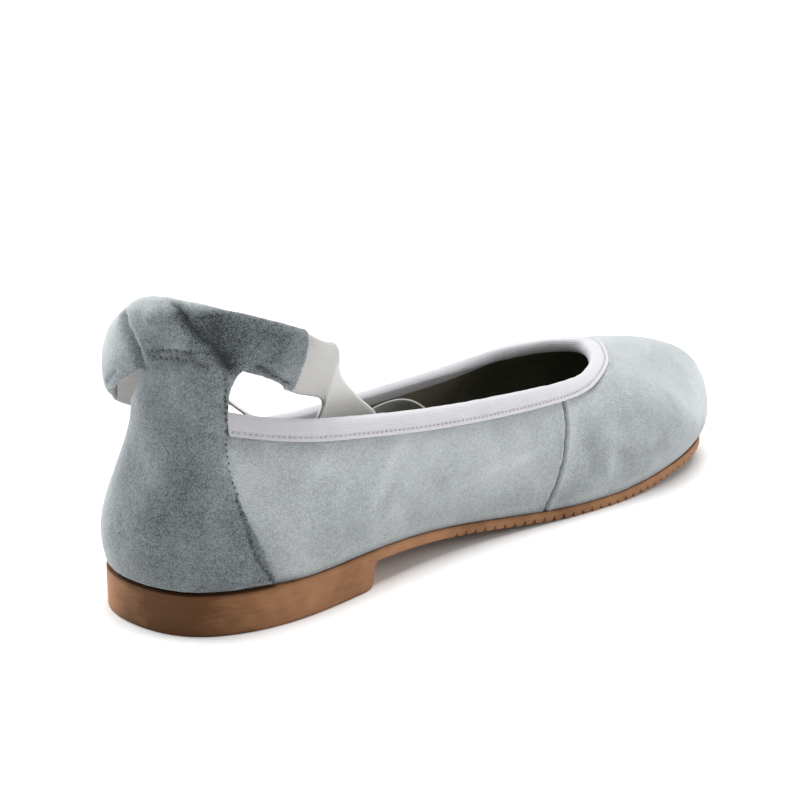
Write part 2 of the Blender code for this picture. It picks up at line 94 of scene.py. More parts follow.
def run_of(points: Array) -> Array:
    """Distance run along a line of points, from 0 at the first."""
    return np.concatenate([[0.0], np.cumsum(np.linalg.norm(np.diff(points, axis=0), axis=1))])


def resampled(stops: Array, run: Array, values: Array) -> Array:
    """Each column of values, known at distances run, read at stops."""
    return np.stack([np.interp(stops, run, column) for column in values.T], axis=1)


def ripple(points: Array, size: float, seed: int, waves: int = 14) -> Array:
    """Smooth noise, the mean of sine waves along seeded directions.

    Args:
        points: positions, their last axis being x, y and z.
        size: wavelength in the points' own unit.
        seed: number that fixes the directions and phases.
        waves: how many waves are summed.

    Returns:
        Values of about -1 to 1, one for each point.
    """
    rng = np.random.default_rng(seed)
    heading = unit(rng.normal(size=(waves, points.shape[-1])))
    scale = rng.uniform(0.7, 1.5, waves) * 2 * math.pi / size
    phase = rng.uniform(0, 2 * math.pi, waves)
    total = np.zeros(points.shape[:-1])
    for way, rate, start in zip(heading, scale, phase):
        total += np.sin(points @ way * rate + start)
    return total * math.sqrt(2.0 / waves) * 0.6


# ---------------------------------------------------------------- the last and its surface


class Row(NamedTuple):
    """One row of the upper.

    foot_y and rim_y are shares of the length, rise and drop of the collar's height, and the rest
    of the ball's width. up_in and up_out place the rim, from 0 at the instep's height to 1 at
    the collar's.
    """

    foot_y: float
    foot_in: float
    foot_out: float
    rim_y: float
    rim_in: float
    rim_out: float
    up_in: float
    up_out: float
    belly: float
    rise: float
    reach: float
    drop: float


ROWS = {
    "heel_round": Row(
        0.022, 0.270, 0.215, 0.044, 0.175, 0.072, 0.951, 0.918, 0.092, 0.306, 0.000, 0.290,
    ),
    "counter": Row(
        0.106, 0.415, 0.354, 0.084, 0.257, 0.170, 0.794, 0.576, 0.079, 0.306, 0.013, 0.274,
    ),
    "seat": Row(
        0.190, 0.428, 0.368, 0.163, 0.318, 0.230, 0.530, 0.168, 0.079, 0.274, 0.020, 0.242,
    ),
    "breast": Row(
        0.270, 0.402, 0.362, 0.245, 0.338, 0.255, 0.357, -0.142, 0.079, 0.242, 0.026, 0.210,
    ),
    "waist": Row(
        0.410, 0.358, 0.372, 0.400, 0.345, 0.280, 0.109, -0.282, 0.079, 0.210, 0.039, 0.177,
    ),
    "seam": Row(
        0.557, 0.404, 0.482, 0.606, 0.330, 0.300, -0.083, -0.256, 0.079, 0.210, 0.066, 0.129,
    ),
    "ball": Row(
        0.686, 0.453, 0.540, 0.690, 0.275, 0.262, -0.109, -0.149, 0.079, 0.227, 0.154, 0.069,
    ),
    "toe_side": Row(
        0.837, 0.420, 0.455, 0.746, 0.175, 0.175, -0.051, -0.057, 0.179, 0.255, 0.286, 0.055,
    ),
    "toe_round": Row(
        0.947, 0.284, 0.285, 0.770, 0.092, 0.095, -0.005, -0.005, 0.139, 0.209, 0.367, 0.080,
    ),
}


class Loop:
    """Closed cubic spline through rows of any columns; the first two columns space its knots."""

    def __init__(self, rows: Sequence[Sequence[float]]) -> None:
        """Solves the spline's second derivatives, so that slopes agree at each knot."""
        self.rows = np.array(rows, float)
        ends = np.vstack([self.rows, self.rows[:1]])
        chords = np.hypot(*np.diff(ends[:, :2], axis=0).T)
        self.knots = np.concatenate([[0.0], np.cumsum(chords)])
        steps = np.diff(self.knots)
        count = len(steps)
        here = np.arange(count)
        before, after = (here - 1) % count, (here + 1) % count
        matrix = np.zeros((count, count))
        matrix[here, before] += steps[before]
        matrix[here, here] += 2 * (steps[before] + steps)
        matrix[here, after] += steps
        slope = (self.rows[after] - self.rows) / steps[:, None]
        self.bend = np.linalg.solve(matrix, 6 * (slope - slope[before]))

    def __call__(self, t: Array) -> Array:
        """Rows of values at loop positions t."""
        t = np.mod(t, self.knots[-1])
        i = np.clip(np.searchsorted(self.knots, t, side="right") - 1, 0, len(self.rows) - 1)
        j = (i + 1) % len(self.rows)
        step = (self.knots[i + 1] - self.knots[i])[:, None]
        b = (t - self.knots[i])[:, None] / step
        a = 1 - b
        curve = ((a ** 3 - a) * self.bend[i] + (b ** 3 - b) * self.bend[j]) * step ** 2 / 6
        return a * self.rows[i] + b * self.rows[j] + curve


@dataclass
class Last:
    """The shoe's form: its named sizes, and the face of the upper as a function of two numbers."""

    length: float = 245.0
    ball_width: float = 76.0
    heel_height: float = 11.6
    sole_thick: float = 3.4
    toe_spring: float = 6.6
    collar_height: float = 62.0
    instep_height: float = 43.0
    wall: float = 2.0
    gap: float = 0.3
    centre: float = 0.046
    edge_inset: float = 0.8
    tab_inset: float = 2.0
    rim_back: float = 0.035
    rim_tip: float = 0.788
    spine_back: float = 22.0
    spine_front: float = 26.0

    def __post_init__(self) -> None:
        """Builds the loop round the upper and the marks on it."""
        middle = self.middle
        across = np.array([self.ball_width, self.collar_height] * 2)
        fall = self.collar_height - self.instep_height
        heel = [middle, 0.0, middle, self.rim_back * self.length, self.collar_height]
        heel += list(np.array([0.092, 0.306, -0.026, 0.323]) * across)
        tip = 0.018 * self.ball_width
        toe = [tip, self.length, 0.0, self.rim_tip * self.length, self.instep_height]
        toe += list(np.array([0.156, 0.420, 0.507, 0.033]) * across)
        sides: list[list[list[float]]] = [[], []]
        for row in ROWS.values():
            section = list(np.array(row[8:12]) * across)
            for side, sign, foot, rim, up in (
                (0, 1, row.foot_in, row.rim_in, row.up_in),
                (1, -1, row.foot_out, row.rim_out, row.up_out),
            ):
                sides[side].append([
                    sign * foot * self.ball_width, row.foot_y * self.length,
                    sign * rim * self.ball_width, row.rim_y * self.length,
                    self.instep_height + up * fall,
                ] + section)
        self.loop = Loop([heel] + sides[0] + [toe] + sides[1][::-1])
        self.around = float(self.loop.knots[-1])
        keys = list(ROWS)
        self.counter_in = float(self.loop.knots[1 + keys.index("counter")])
        self.counter_out = float(self.loop.knots[-2 - keys.index("counter")]) - self.around
        self.seam_in = float(self.loop.knots[1 + keys.index("seam")])
        self.seam_out = float(self.loop.knots[-2 - keys.index("seam")])

    @property
    def middle(self) -> float:
        """X of the heel's centre line."""
        return self.centre * self.ball_width

    def sole_top(self, y: Array) -> Array:
        """Height of the sole's upper face: the seat, eased down to the ball, then the spring."""
        share = np.asarray(y, float) / self.length
        arch = (self.heel_height - self.sole_thick) * (1 - ease(0.22, 0.66, share))
        spring = self.toe_spring * np.clip((share - 0.70) / 0.30, 0, 1) ** 1.35
        return self.sole_thick + arch + spring

    def face(self, t: Array, v: Array) -> Array:
        """Outer face of the upper.

        The section at a loop position is a cubic Bezier from the foot to the rim. Its second
        point leaves the foot by belly and rise, and its third meets the rim by reach and drop.

        Args:
            t: loop positions, one for each column.
            v: heights from 0 at the sole to 1 at the rim, one for each row.

        Returns:
            Points of shape (rows, columns, 3).
        """
        row = self.loop(t)
        along = unit((self.loop(t + 0.5) - self.loop(t - 0.5))[:, :2])
        out = np.stack([along[:, 1], -along[:, 0], np.zeros(len(t))], axis=1)
        under_tab = 1 - ease(0.08, 0.16, row[:, 1:2] / self.length)
        inset = self.edge_inset + self.tab_inset * under_tab
        base = np.stack([row[:, 0], row[:, 1], self.sole_top(row[:, 1]) + self.gap], axis=1)
        foot = base - out * inset
        rim = row[:, 2:5]
        up = np.array([0.0, 0.0, 1.0])
        low = foot + out * row[:, 5:6] + up * row[:, 6:7]
        high = rim + out * row[:, 7:8] - up * row[:, 8:9]
        v = np.asarray(v, float)[:, None, None]
        w = 1 - v
        return w ** 3 * foot + 3 * w * w * v * low + 3 * w * v * v * high + v ** 3 * rim

    def normal(self, t: Array, v: Array, step: float = 0.4) -> Array:
        """Unit normals of the face, outwards: the column direction crossed with the row's."""
        v = np.asarray(v, float)
        across = self.face(t + step, v) - self.face(t - step, v)
        rise = self.face(t, np.minimum(v + 0.01, 1.0)) - self.face(t, np.maximum(v - 0.01, 0.0))
        return unit(np.cross(across, rise))

    def at(self, t: Array, level: float) -> tuple[Array, Array]:
        """Points of the face at one height, and their normals."""
        v = np.array([level])
        return self.face(t, v)[0], self.normal(t, v)[0]

    def spine(self, edge: Array) -> Array:
        """For each place on an outline, the point inside that its rings are drawn in to."""
        y = edge[:, 1]
        y = np.clip(y, y.min() + self.spine_back, y.max() - self.spine_front)
        return np.stack([np.full(len(edge), self.middle * 0.5), y], axis=1)


def open_curve(rows: Array, count: int) -> Array:
    """Smooth curve through rows, a cubic Hermite between each two, evenly spread by length."""
    rows = np.array(rows, float)
    chords = np.linalg.norm(np.diff(rows[:, :3], axis=0), axis=1)
    knots = np.concatenate([[0.0], np.cumsum(chords)])
    slopes = np.gradient(rows, knots, axis=0)
    place = np.linspace(0, knots[-1], count)
    i = np.clip(np.searchsorted(knots, place, side="right") - 1, 0, len(chords) - 1)
    step = chords[i][:, None]
    s = (place - knots[i])[:, None] / step
    start = rows[i] * (1 + 2 * s) + slopes[i] * step * s
    end = rows[i + 1] * (3 - 2 * s) - slopes[i + 1] * step * (1 - s)
    return (1 - s) ** 2 * start + s ** 2 * end


def smoothed(grid: Array, rounds: int) -> Array:
    """The grid with each column drawn towards its neighbours, the end columns held by repeats."""
    for _ in range(rounds):
        wide = np.concatenate([grid[:, :1], grid, grid[:, -1:]], axis=1)
        grid = (wide[:, :-2] + 2 * wide[:, 1:-1] + wide[:, 2:]) / 4
    return grid


def line_distance(points: Array, line: Array) -> Array:
    """Distance from each point to a line of straight stretches."""
    nearest = np.full(len(points), np.inf)
    for start, end in zip(line[:-1], line[1:]):
        way = end - start
        share = np.clip((points - start) @ way / max(float(way @ way), 1e-9), 0, 1)
        gap = np.linalg.norm(points - start - share[:, None] * way, axis=1)
        nearest = np.minimum(nearest, gap)
    return nearest


# ---------------------------------------------------------------- meshes from grids


def quads(rows: int, columns: int, wrap_rows: bool = False, wrap_columns: bool = False) -> Array:
    """Corner rows and columns of a grid's quads, shape (faces, 4, 2), not yet wrapped round."""
    r = np.arange(rows if wrap_rows else rows - 1)
    c = np.arange(columns if wrap_columns else columns - 1)
    r, c = [grid.ravel() for grid in np.meshgrid(r, c, indexing="ij")]
    corners = [(r, c), (r, c + 1), (r + 1, c + 1), (r + 1, c)]
    return np.stack([np.stack(pair, axis=-1) for pair in corners], axis=1)


@dataclass
class Surface:
    """Points and quads in millimetres, with a UV for each corner and a finish for each face."""

    points: Array
    faces: Array
    uv: Array
    finish: Array

    @classmethod
    def grid(cls, points: Array, wrap_rows: bool = False, wrap_columns: bool = False) -> "Surface":
        """Surface over a grid of points; UVs are the distances run along columns and rows."""
        rows, columns = points.shape[:2]
        corners = quads(rows, columns, wrap_rows, wrap_columns)
        faces = (corners[..., 0] % rows) * columns + corners[..., 1] % columns
        closed = np.concatenate([points, points[:, :1]], axis=1)
        u = np.linalg.norm(np.diff(closed, axis=1), axis=2).mean(axis=0)
        u = np.concatenate([[0.0], np.cumsum(u)])
        closed = np.concatenate([points, points[:1]], axis=0)
        v = np.linalg.norm(np.diff(closed, axis=0), axis=2).mean(axis=1)
        v = np.concatenate([[0.0], np.cumsum(v)])
        uv = np.stack([u[corners[..., 1]], v[corners[..., 0]]], axis=-1)
        return cls(points.reshape(-1, 3), faces, uv, np.zeros(len(faces), int))

    def joined(self, *others: "Surface") -> "Surface":
        """This surface and others as one, each keeping its own points."""
        parts = [self, *others]
        starts = np.cumsum([0] + [len(part.points) for part in parts[:-1]])
        return Surface(
            np.concatenate([part.points for part in parts]),
            np.concatenate([part.faces + start for part, start in zip(parts, starts)]),
            np.concatenate([part.uv for part in parts]),
            np.concatenate([part.finish for part in parts]),
        )

    def volume(self) -> float:
        """Volume that the faces enclose, a sixth of the sum of their corners' triple products."""
        a, b, c, d = [self.points[self.faces[:, k]] for k in range(4)]
        first = np.einsum("ij,ij->i", a, np.cross(b, c)).sum()
        return float(first + np.einsum("ij,ij->i", a, np.cross(c, d)).sum()) / 6

    def facing_out(self) -> "Surface":
        """The surface with its faces turned round if they enclose a negative volume."""
        if self.volume() >= 0:
            return self
        return Surface(self.points, self.faces[:, ::-1], self.uv[:, ::-1], self.finish)


def slab(outer: Array, inner: Array) -> Surface:
    """Closed solid between two grids of points of one shape.

    The outer rows run up, the inner rows back down, and they join at both ends into a ring that
    the columns carry along. A strip of quads closes each end.

    Args:
        outer: grid of points on the outside.
        inner: grid of points on the inside.

    Returns:
        The surface, facing out.
    """
    made = Surface.grid(np.concatenate([outer, inner[::-1]], axis=0), wrap_rows=True)
    rows, columns = outer.shape[:2]
    k = np.arange(rows - 1)
    strip = np.stack([k, k + 1, 2 * rows - 2 - k, 2 * rows - 1 - k], axis=1)
    caps = np.concatenate([strip * columns, (strip * columns + columns - 1)[:, ::-1]])
    return Surface(
        made.points, np.concatenate([made.faces, caps]),
        np.concatenate([made.uv, np.zeros(caps.shape + (2,))]),
        np.zeros(len(made.faces) + len(caps), int),
    ).facing_out()


def linked(name: str, data: bpy.types.ID) -> bpy.types.Object:
    """New object over its data, linked to the scene."""
    made = bpy.data.objects.new(name, data)
    bpy.context.scene.collection.objects.link(made)
    return made


def to_frame(points: Array) -> Array:
    """Points in metres in the frame's place, as the flat list that a mesh takes."""
    return ((points - ORIGIN) * MM).astype(np.float32).ravel()


def write_mesh(
    name: str, surface: Surface, materials: Sequence[bpy.types.Material],
) -> bpy.types.Object:
    """Mesh object from a surface, smooth shaded, in the frame's place and in metres.

    Args:
        name: the piece's name.
        surface: what to write.
        materials: one for each finish number on the faces.

    Returns:
        The object, linked to the scene.
    """
    mesh = bpy.data.meshes.new(name)
    count = len(surface.faces)
    mesh.vertices.add(len(surface.points))
    mesh.vertices.foreach_set("co", to_frame(surface.points))
    mesh.loops.add(count * 4)
    mesh.loops.foreach_set("vertex_index", surface.faces.astype(np.int32).ravel())
    mesh.polygons.add(count)
    mesh.polygons.foreach_set("loop_start", np.arange(0, count * 4, 4, dtype=np.int32))
    mesh.polygons.foreach_set("material_index", surface.finish.astype(np.int32))
    layer = mesh.uv_layers.new(name="run")
    layer.data.foreach_set("uv", surface.uv.astype(np.float32).ravel())
    mesh.update(calc_edges=True)
    mesh.validate()
    mesh.polygons.foreach_set("use_smooth", np.ones(len(mesh.polygons), bool))
    for material in materials:
        mesh.materials.append(material)
    return linked(name, mesh)


def add_attribute(piece: bpy.types.Object, name: str, values: Array) -> None:
    """Stores one number for each point of the piece's mesh."""
    layer = piece.data.attributes.new(name, "FLOAT", "POINT")
    layer.data.foreach_set("value", np.asarray(values, np.float32).ravel())


def read_triples(rows: bpy.types.bpy_prop_collection, key: str) -> Array:
    """One row of three numbers for each item of a mesh's collection."""
    flat = np.empty(len(rows) * 3, np.float32)
    rows.foreach_get(key, flat)
    return flat.reshape(-1, 3).astype(float)


def mesh_points(piece: bpy.types.Object) -> Array:
    """The mesh's points in millimetres, with the heel at Y = 0."""
    return read_triples(piece.data.vertices, "co") / MM + ORIGIN


def vertex_normals(piece: bpy.types.Object) -> Array:
    """Unit normals at the mesh's points."""
    return read_triples(piece.data.vertex_normals, "vector")


def settle(piece: bpy.types.Object) -> None:
    """Replaces the piece's mesh by the one that its modifiers make, and drops them."""
    graph = bpy.context.evaluated_depsgraph_get()
    done = bpy.data.meshes.new_from_object(piece.evaluated_get(graph), depsgraph=graph)
    piece.modifiers.clear()
    piece.data = done


def threads(places: Array, along: Array, out: Array, length: float, thick: float) -> Surface:
    """Stitches: short arched capsules, each lying along its seam and sunk at both ends.

    Each is a half sine arch carried along its direction, with a radius that falls to nothing at
    the ends as the square root of a sine.

    Args:
        places: middle of each stitch.
        along: unit direction of each.
        out: unit direction away from the material of each.
        length: length of a stitch.
        thick: its greatest diameter.

    Returns:
        All of them as one surface.
    """
    rings, sides = 7, 6
    s = np.linspace(0, math.pi, rings)
    turn = np.linspace(0, 2 * math.pi, sides, endpoint=False)
    side = unit(np.cross(along, out))
    radius = np.sqrt(np.maximum(np.sin(s), 0.02)) * thick / 2
    lift = (np.sin(s) - 0.45) * thick * 0.7
    centre = (
        places[:, None] + along[:, None] * (-np.cos(s) * length / 2)[None, :, None]
        + out[:, None] * lift[None, :, None]
    )
    spoke = (
        side[:, None, None] * np.cos(turn)[None, None, :, None]
        + out[:, None, None] * np.sin(turn)[None, None, :, None]
    )
    points = centre[:, :, None] + spoke * radius[None, :, None, None]
    corners = quads(rings, sides, wrap_columns=True)
    one = corners[..., 0] * sides + corners[..., 1] % sides
    starts = np.arange(len(places)) * rings * sides
    faces = (one[None] + starts[:, None, None]).reshape(-1, 4)
    uv = np.zeros(faces.shape + (2,))
    made = Surface(points.reshape(-1, 3), faces[:, ::-1], uv, np.zeros(len(faces), int))
    return made.facing_out()


# ---------------------------------------------------------------- shader nodes

Number = Union[int, float]


class Value:
    """A number socket in a material; each operator adds the Math node that works it out."""

    def __init__(self, shader: "Shader", socket: bpy.types.NodeSocket) -> None:
        """Keeps the shader that the nodes go to, and the socket."""
        self.shader = shader
        self.socket = socket

    def _math(
        self, operation: str, *values: Union["Value", Number], clamp: bool = False,
    ) -> "Value":
        """Value of a Math node over these inputs."""
        node = self.shader.node(
            "ShaderNodeMath", {"operation": operation, "use_clamp": clamp},
            dict(enumerate(values)),
        )
        return Value(self.shader, node.outputs[0])

    def __add__(self, other: Union["Value", Number]) -> "Value":
        """Sum."""
        return self._math("ADD", self, other)

    def __mul__(self, other: Union["Value", Number]) -> "Value":
        """Product."""
        return self._math("MULTIPLY", self, other)

    def __sub__(self, other: Union["Value", Number]) -> "Value":
        """Difference."""
        return self._math("SUBTRACT", self, other)

    def sine(self) -> "Value":
        """Sine of the value in radians."""
        return self._math("SINE", self)

    def clamped(self) -> "Value":
        """Value held between 0 and 1."""
        return self._math("ADD", self, 0.0, clamp=True)

    def stretched(self, low: float, high: float) -> "Value":
        """Smooth share from 0 at low to 1 at high."""
        node = self.shader.node(
            "ShaderNodeMapRange", {"interpolation_type": "SMOOTHSTEP"},
            {"Value": self, "From Min": low, "From Max": high},
        )
        return Value(self.shader, node.outputs["Result"])


Feed = Union[Value, bpy.types.NodeSocket, Number, Sequence[float]]


class Shader:
    """One material and the nodes that feed its Principled shader."""

    def __init__(self, name: str) -> None:
        """Makes the material with an empty Principled shader."""
        self.material = bpy.data.materials.new(name)
        self.material.use_nodes = True
        self.nodes = self.material.node_tree.nodes
        self.links = self.material.node_tree.links
        self.surface = self.nodes["Principled BSDF"]

    def feed(self, socket: bpy.types.NodeSocket, value: Feed) -> None:
        """Links a socket or value to the socket, or sets its number or colour."""
        if isinstance(value, Value):
            value = value.socket
        if isinstance(value, bpy.types.NodeSocket):
            self.links.new(value, socket)
        elif isinstance(value, (int, float)):
            socket.default_value = value
        else:
            value = tuple(value)
            wanted = len(socket.default_value)
            socket.default_value = value if len(value) == wanted else value + (1.0,)

    def node(self, kind: str, settings: dict, inputs: dict) -> bpy.types.Node:
        """Adds a node, with its settings first and then its inputs, by name or number."""
        made = self.nodes.new(kind)
        for key, value in settings.items():
            setattr(made, key, value)
        for key, value in inputs.items():
            self.feed(made.inputs[key], value)
        return made

    def place(self, stretch: Sequence[float] = (1.0, 1.0, 1.0)) -> bpy.types.NodeSocket:
        """Object coordinates in metres, stretched along each axis."""
        where = self.node("ShaderNodeTexCoord", {}, {}).outputs["Object"]
        return self.node("ShaderNodeMapping", {}, {"Vector": where, "Scale": stretch}).outputs[0]

    def run(self, axis: str) -> Value:
        """Distance in millimetres along the piece's own UV map, axis being X or Y."""
        where = self.node("ShaderNodeUVMap", {"uv_map": "run"}, {}).outputs[0]
        parts = self.node("ShaderNodeSeparateXYZ", {}, {0: where})
        return Value(self, parts.outputs[axis])

    def attribute(self, name: str) -> Value:
        """A number stored on the mesh's points."""
        made = self.node("ShaderNodeAttribute", {"attribute_name": name}, {})
        return Value(self, made.outputs["Fac"])

    def noise(
        self, size: float, detail: float = 2.0, rough: float = 0.5, twist: float = 0.0,
        stretch: Sequence[float] = (1.0, 1.0, 1.0),
    ) -> Value:
        """Noise of a size in millimetres, about 0.3 to 0.7."""
        made = self.node("ShaderNodeTexNoise", {}, {
            "Vector": self.place(stretch), "Scale": 1000.0 / size, "Detail": detail,
            "Roughness": rough, "Distortion": twist,
        })
        return Value(self, made.outputs["Fac"])

    def mix(self, share: Feed, first: Feed, second: Feed) -> bpy.types.NodeSocket:
        """Colour between two, by share."""
        inputs = {"Factor": share, 6: first, 7: second}
        return self.node("ShaderNodeMix", {"data_type": "RGBA"}, inputs).outputs[2]

    def bump(
        self, height: Feed, depth: float, before: Optional[bpy.types.NodeSocket] = None,
    ) -> bpy.types.NodeSocket:
        """Normal of a relief whose height of 1 stands for depth millimetres."""
        inputs: dict = {"Height": height, "Distance": depth * MM, "Strength": 1.0}
        if before is not None:
            inputs["Normal"] = before
        return self.node("ShaderNodeBump", {}, inputs).outputs[0]

    def finish(self, **inputs: Feed) -> bpy.types.Material:
        """Feeds the shader's sockets, named with _ for a space, and gives the material."""
        named = {socket.name.lower().replace(" ", "_"): socket for socket in self.surface.inputs}
        for key, value in inputs.items():
            self.feed(named[key], value)
        return self.material


@dataclass(frozen=True)
class Suede:
    """Brushed suede: clouds of laid and raised nap, a fine speckle and a velvety edge."""

    name: str
    light: Tone = Tone.SUEDE_LIGHT
    mid: Tone = Tone.SUEDE_MID
    deep: Tone = Tone.SUEDE_DEEP
    clouds: float = 0.20
    speckle: float = 0.55
    base: float = 0.56

    def material(self) -> bpy.types.Material:
        """The material; a number on the mesh's points, nap patches with painted light and shade,
        lightens above 0 and darkens below it.
        """
        shader = Shader(self.name)
        clouds = shader.noise(24, 3.0, 0.55, 1.2).stretched(0.34, 0.66)
        laid = shader.noise(6, 3.0, 0.6, 1.5, (1.0, 0.6, 1.3)).stretched(0.36, 0.68)
        specks = shader.noise(0.42, 3.0, 0.65).stretched(0.38, 0.62)
        flecks = shader.noise(1.1, 3.0, 0.65, 0.8, (1.0, 0.7, 1.2)).stretched(0.36, 0.64)
        tone = (clouds * 0.6 + laid * 0.4 - 0.5) * self.clouds + self.base
        # Painted light and shade, with nap patches, as stored on the mesh.
        tone = tone + shader.attribute("brush")
        tone = tone + (specks * 0.7 + flecks * 0.3 - 0.5) * self.speckle
        low = shader.mix((tone * 2).clamped(), self.deep.value, self.mid.value)
        colour = shader.mix((tone * 2 - 1).clamped(), low, self.light.value)
        fine = shader.bump(specks, 0.035)
        relief = shader.bump(flecks + laid * 0.5, 0.05, fine)
        return shader.finish(
            base_color=colour, roughness=0.96, specular_ior_level=0.08, normal=relief,
            sheen_weight=0.75, sheen_roughness=0.4, sheen_tint=(0.93, 0.97, 1.0, 1.0),
        )


@dataclass(frozen=True)
class Ribbing:
    """Woven elastic: ribs along its length, with a fine weft across them."""

    name: str
    light: Tone
    deep: Tone
    pitch: float
    weft: float
    depth: float

    def material(self) -> bpy.types.Material:
        """The material, its ribs and weft as sines of the distances on the piece's UV map."""
        shader = Shader(self.name)
        ribs = (shader.run("Y") * (2 * math.pi / self.pitch)).sine() * 0.5 + 0.5
        wave = shader.noise(1.2, 2.0) * 1.4
        weft = (shader.run("X") * (2 * math.pi / self.weft) + wave).sine() * 0.5 + 0.5
        dirt = shader.noise(14, 3.0, 0.6)
        share = (ribs * 0.30 + weft * 0.22 + dirt * 0.48).stretched(0.0, 1.0)
        colour = shader.mix(share, self.deep.value, self.light.value)
        # Painted shade: a number below 0 on the mesh darkens the elastic towards its shadow colour.
        dark = tuple(part * 0.3 for part in self.deep.value)
        colour = shader.mix((shader.attribute("brush") * -1).clamped(), colour, dark)
        relief = shader.bump(ribs + weft * 0.35, self.depth)
        return shader.finish(
            base_color=colour, roughness=0.72, specular_ior_level=0.25, normal=relief,
            sheen_weight=0.15, sheen_roughness=0.4,
        )


@dataclass(frozen=True)
class SoleLeather:
    """Stained sole leather: long grain, small pores, and painted light and shade taken from the
    mesh.
    """

    name: str

    def material(self) -> bpy.types.Material:
        """The material; its grain is noise stretched along the shoe."""
        shader = Shader(self.name)
        grain = shader.noise(1.1, 4.0, 0.65, 0.4, (0.30, 0.14, 1.4))
        stain_and_shade = shader.noise(22, 3.0, 0.6, 0.8)
        pores = shader.noise(0.5, 3.0, 0.7)
        # Painted light and shade, with a random tint, as stored on the mesh.
        edge = shader.attribute("brush")
        share = (grain * 0.45 + stain_and_shade * 0.3 + 0.14 + edge).clamped()
        colour = shader.mix(share, Tone.SOLE_DEEP.value, Tone.SOLE.value)
        relief = shader.bump(grain * 1.2 + pores * 0.5, 0.14)
        return shader.finish(
            base_color=colour, roughness=(pores * 0.25 + 0.5), specular_ior_level=0.16,
            normal=relief,
        )


@dataclass(frozen=True)
class Lining:
    """Dark woven lining inside the shoe."""

    name: str = "lining"

    def material(self) -> bpy.types.Material:
        """The material: a fine weave, slightly worn in broad patches."""
        shader = Shader(self.name)
        weave = shader.noise(0.7, 3.0, 0.7)
        worn_and_shaded = shader.noise(20, 3.0, 0.5, 0.6).stretched(0.35, 0.75)
        colour = shader.mix(worn_and_shaded * 0.7 + weave * 0.3, Tone.LINING.value, Tone.LINING_LIGHT.value)
        return shader.finish(
            base_color=colour, roughness=0.85, specular_ior_level=0.2,
            normal=shader.bump(weave, 0.12),
        )


@dataclass(frozen=True)
class Thread:
    """Twisted sewing thread."""

    name: str
    tone: Tone

    def material(self) -> bpy.types.Material:
        """The material, speckled finely."""
        shader = Shader(self.name)
        twist = shader.noise(0.35, 2.0)
        dark = tuple(part * 0.6 for part in self.tone.value)
        return shader.finish(
            base_color=shader.mix(twist, dark, self.tone.value), roughness=0.6,
            normal=shader.bump(twist, 0.08),
        )


# ---------------------------------------------------------------- the shoe's pieces


@dataclass
class Piece:
    """What every sub-assembly shares: the last that it is made on, and how it joins the frame."""

    last: Last

    def join(self, made: bpy.types.Object, slot: str, *nodes: str) -> bpy.types.Object:
        """Rides the object on the body and stands it for CAD nodes."""
        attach(made, "root")
        if nodes:
            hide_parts(*nodes)
        log.info("%s: %d faces", made.name, len(made.data.polygons))
        return made


class Shade(NamedTuple):
    """A tone that comes in along axes of the shoe, each as axis, place of none and place of all."""

    tone: float
    spans: tuple[tuple[int, float, float], ...]


def shaded(points: Array, shades: Sequence[Shade]) -> Array:
    """Sum of the shades at points, each its tone times an ease along every one of its axes."""
    total = np.zeros(len(points))
    for shade in shades:
        share = np.prod([ease(low, high, points[:, k]) for k, low, high in shade.spans], axis=0)
        total += shade.tone * share
    return total


class Stroke(NamedTuple):
    """A patch of brushed nap, or of painted shade, on the upper: its place, half sizes, turn and
    tone.
    """

    t: float
    v: float
    long: float
    wide: float
    turn: float
    tone: float


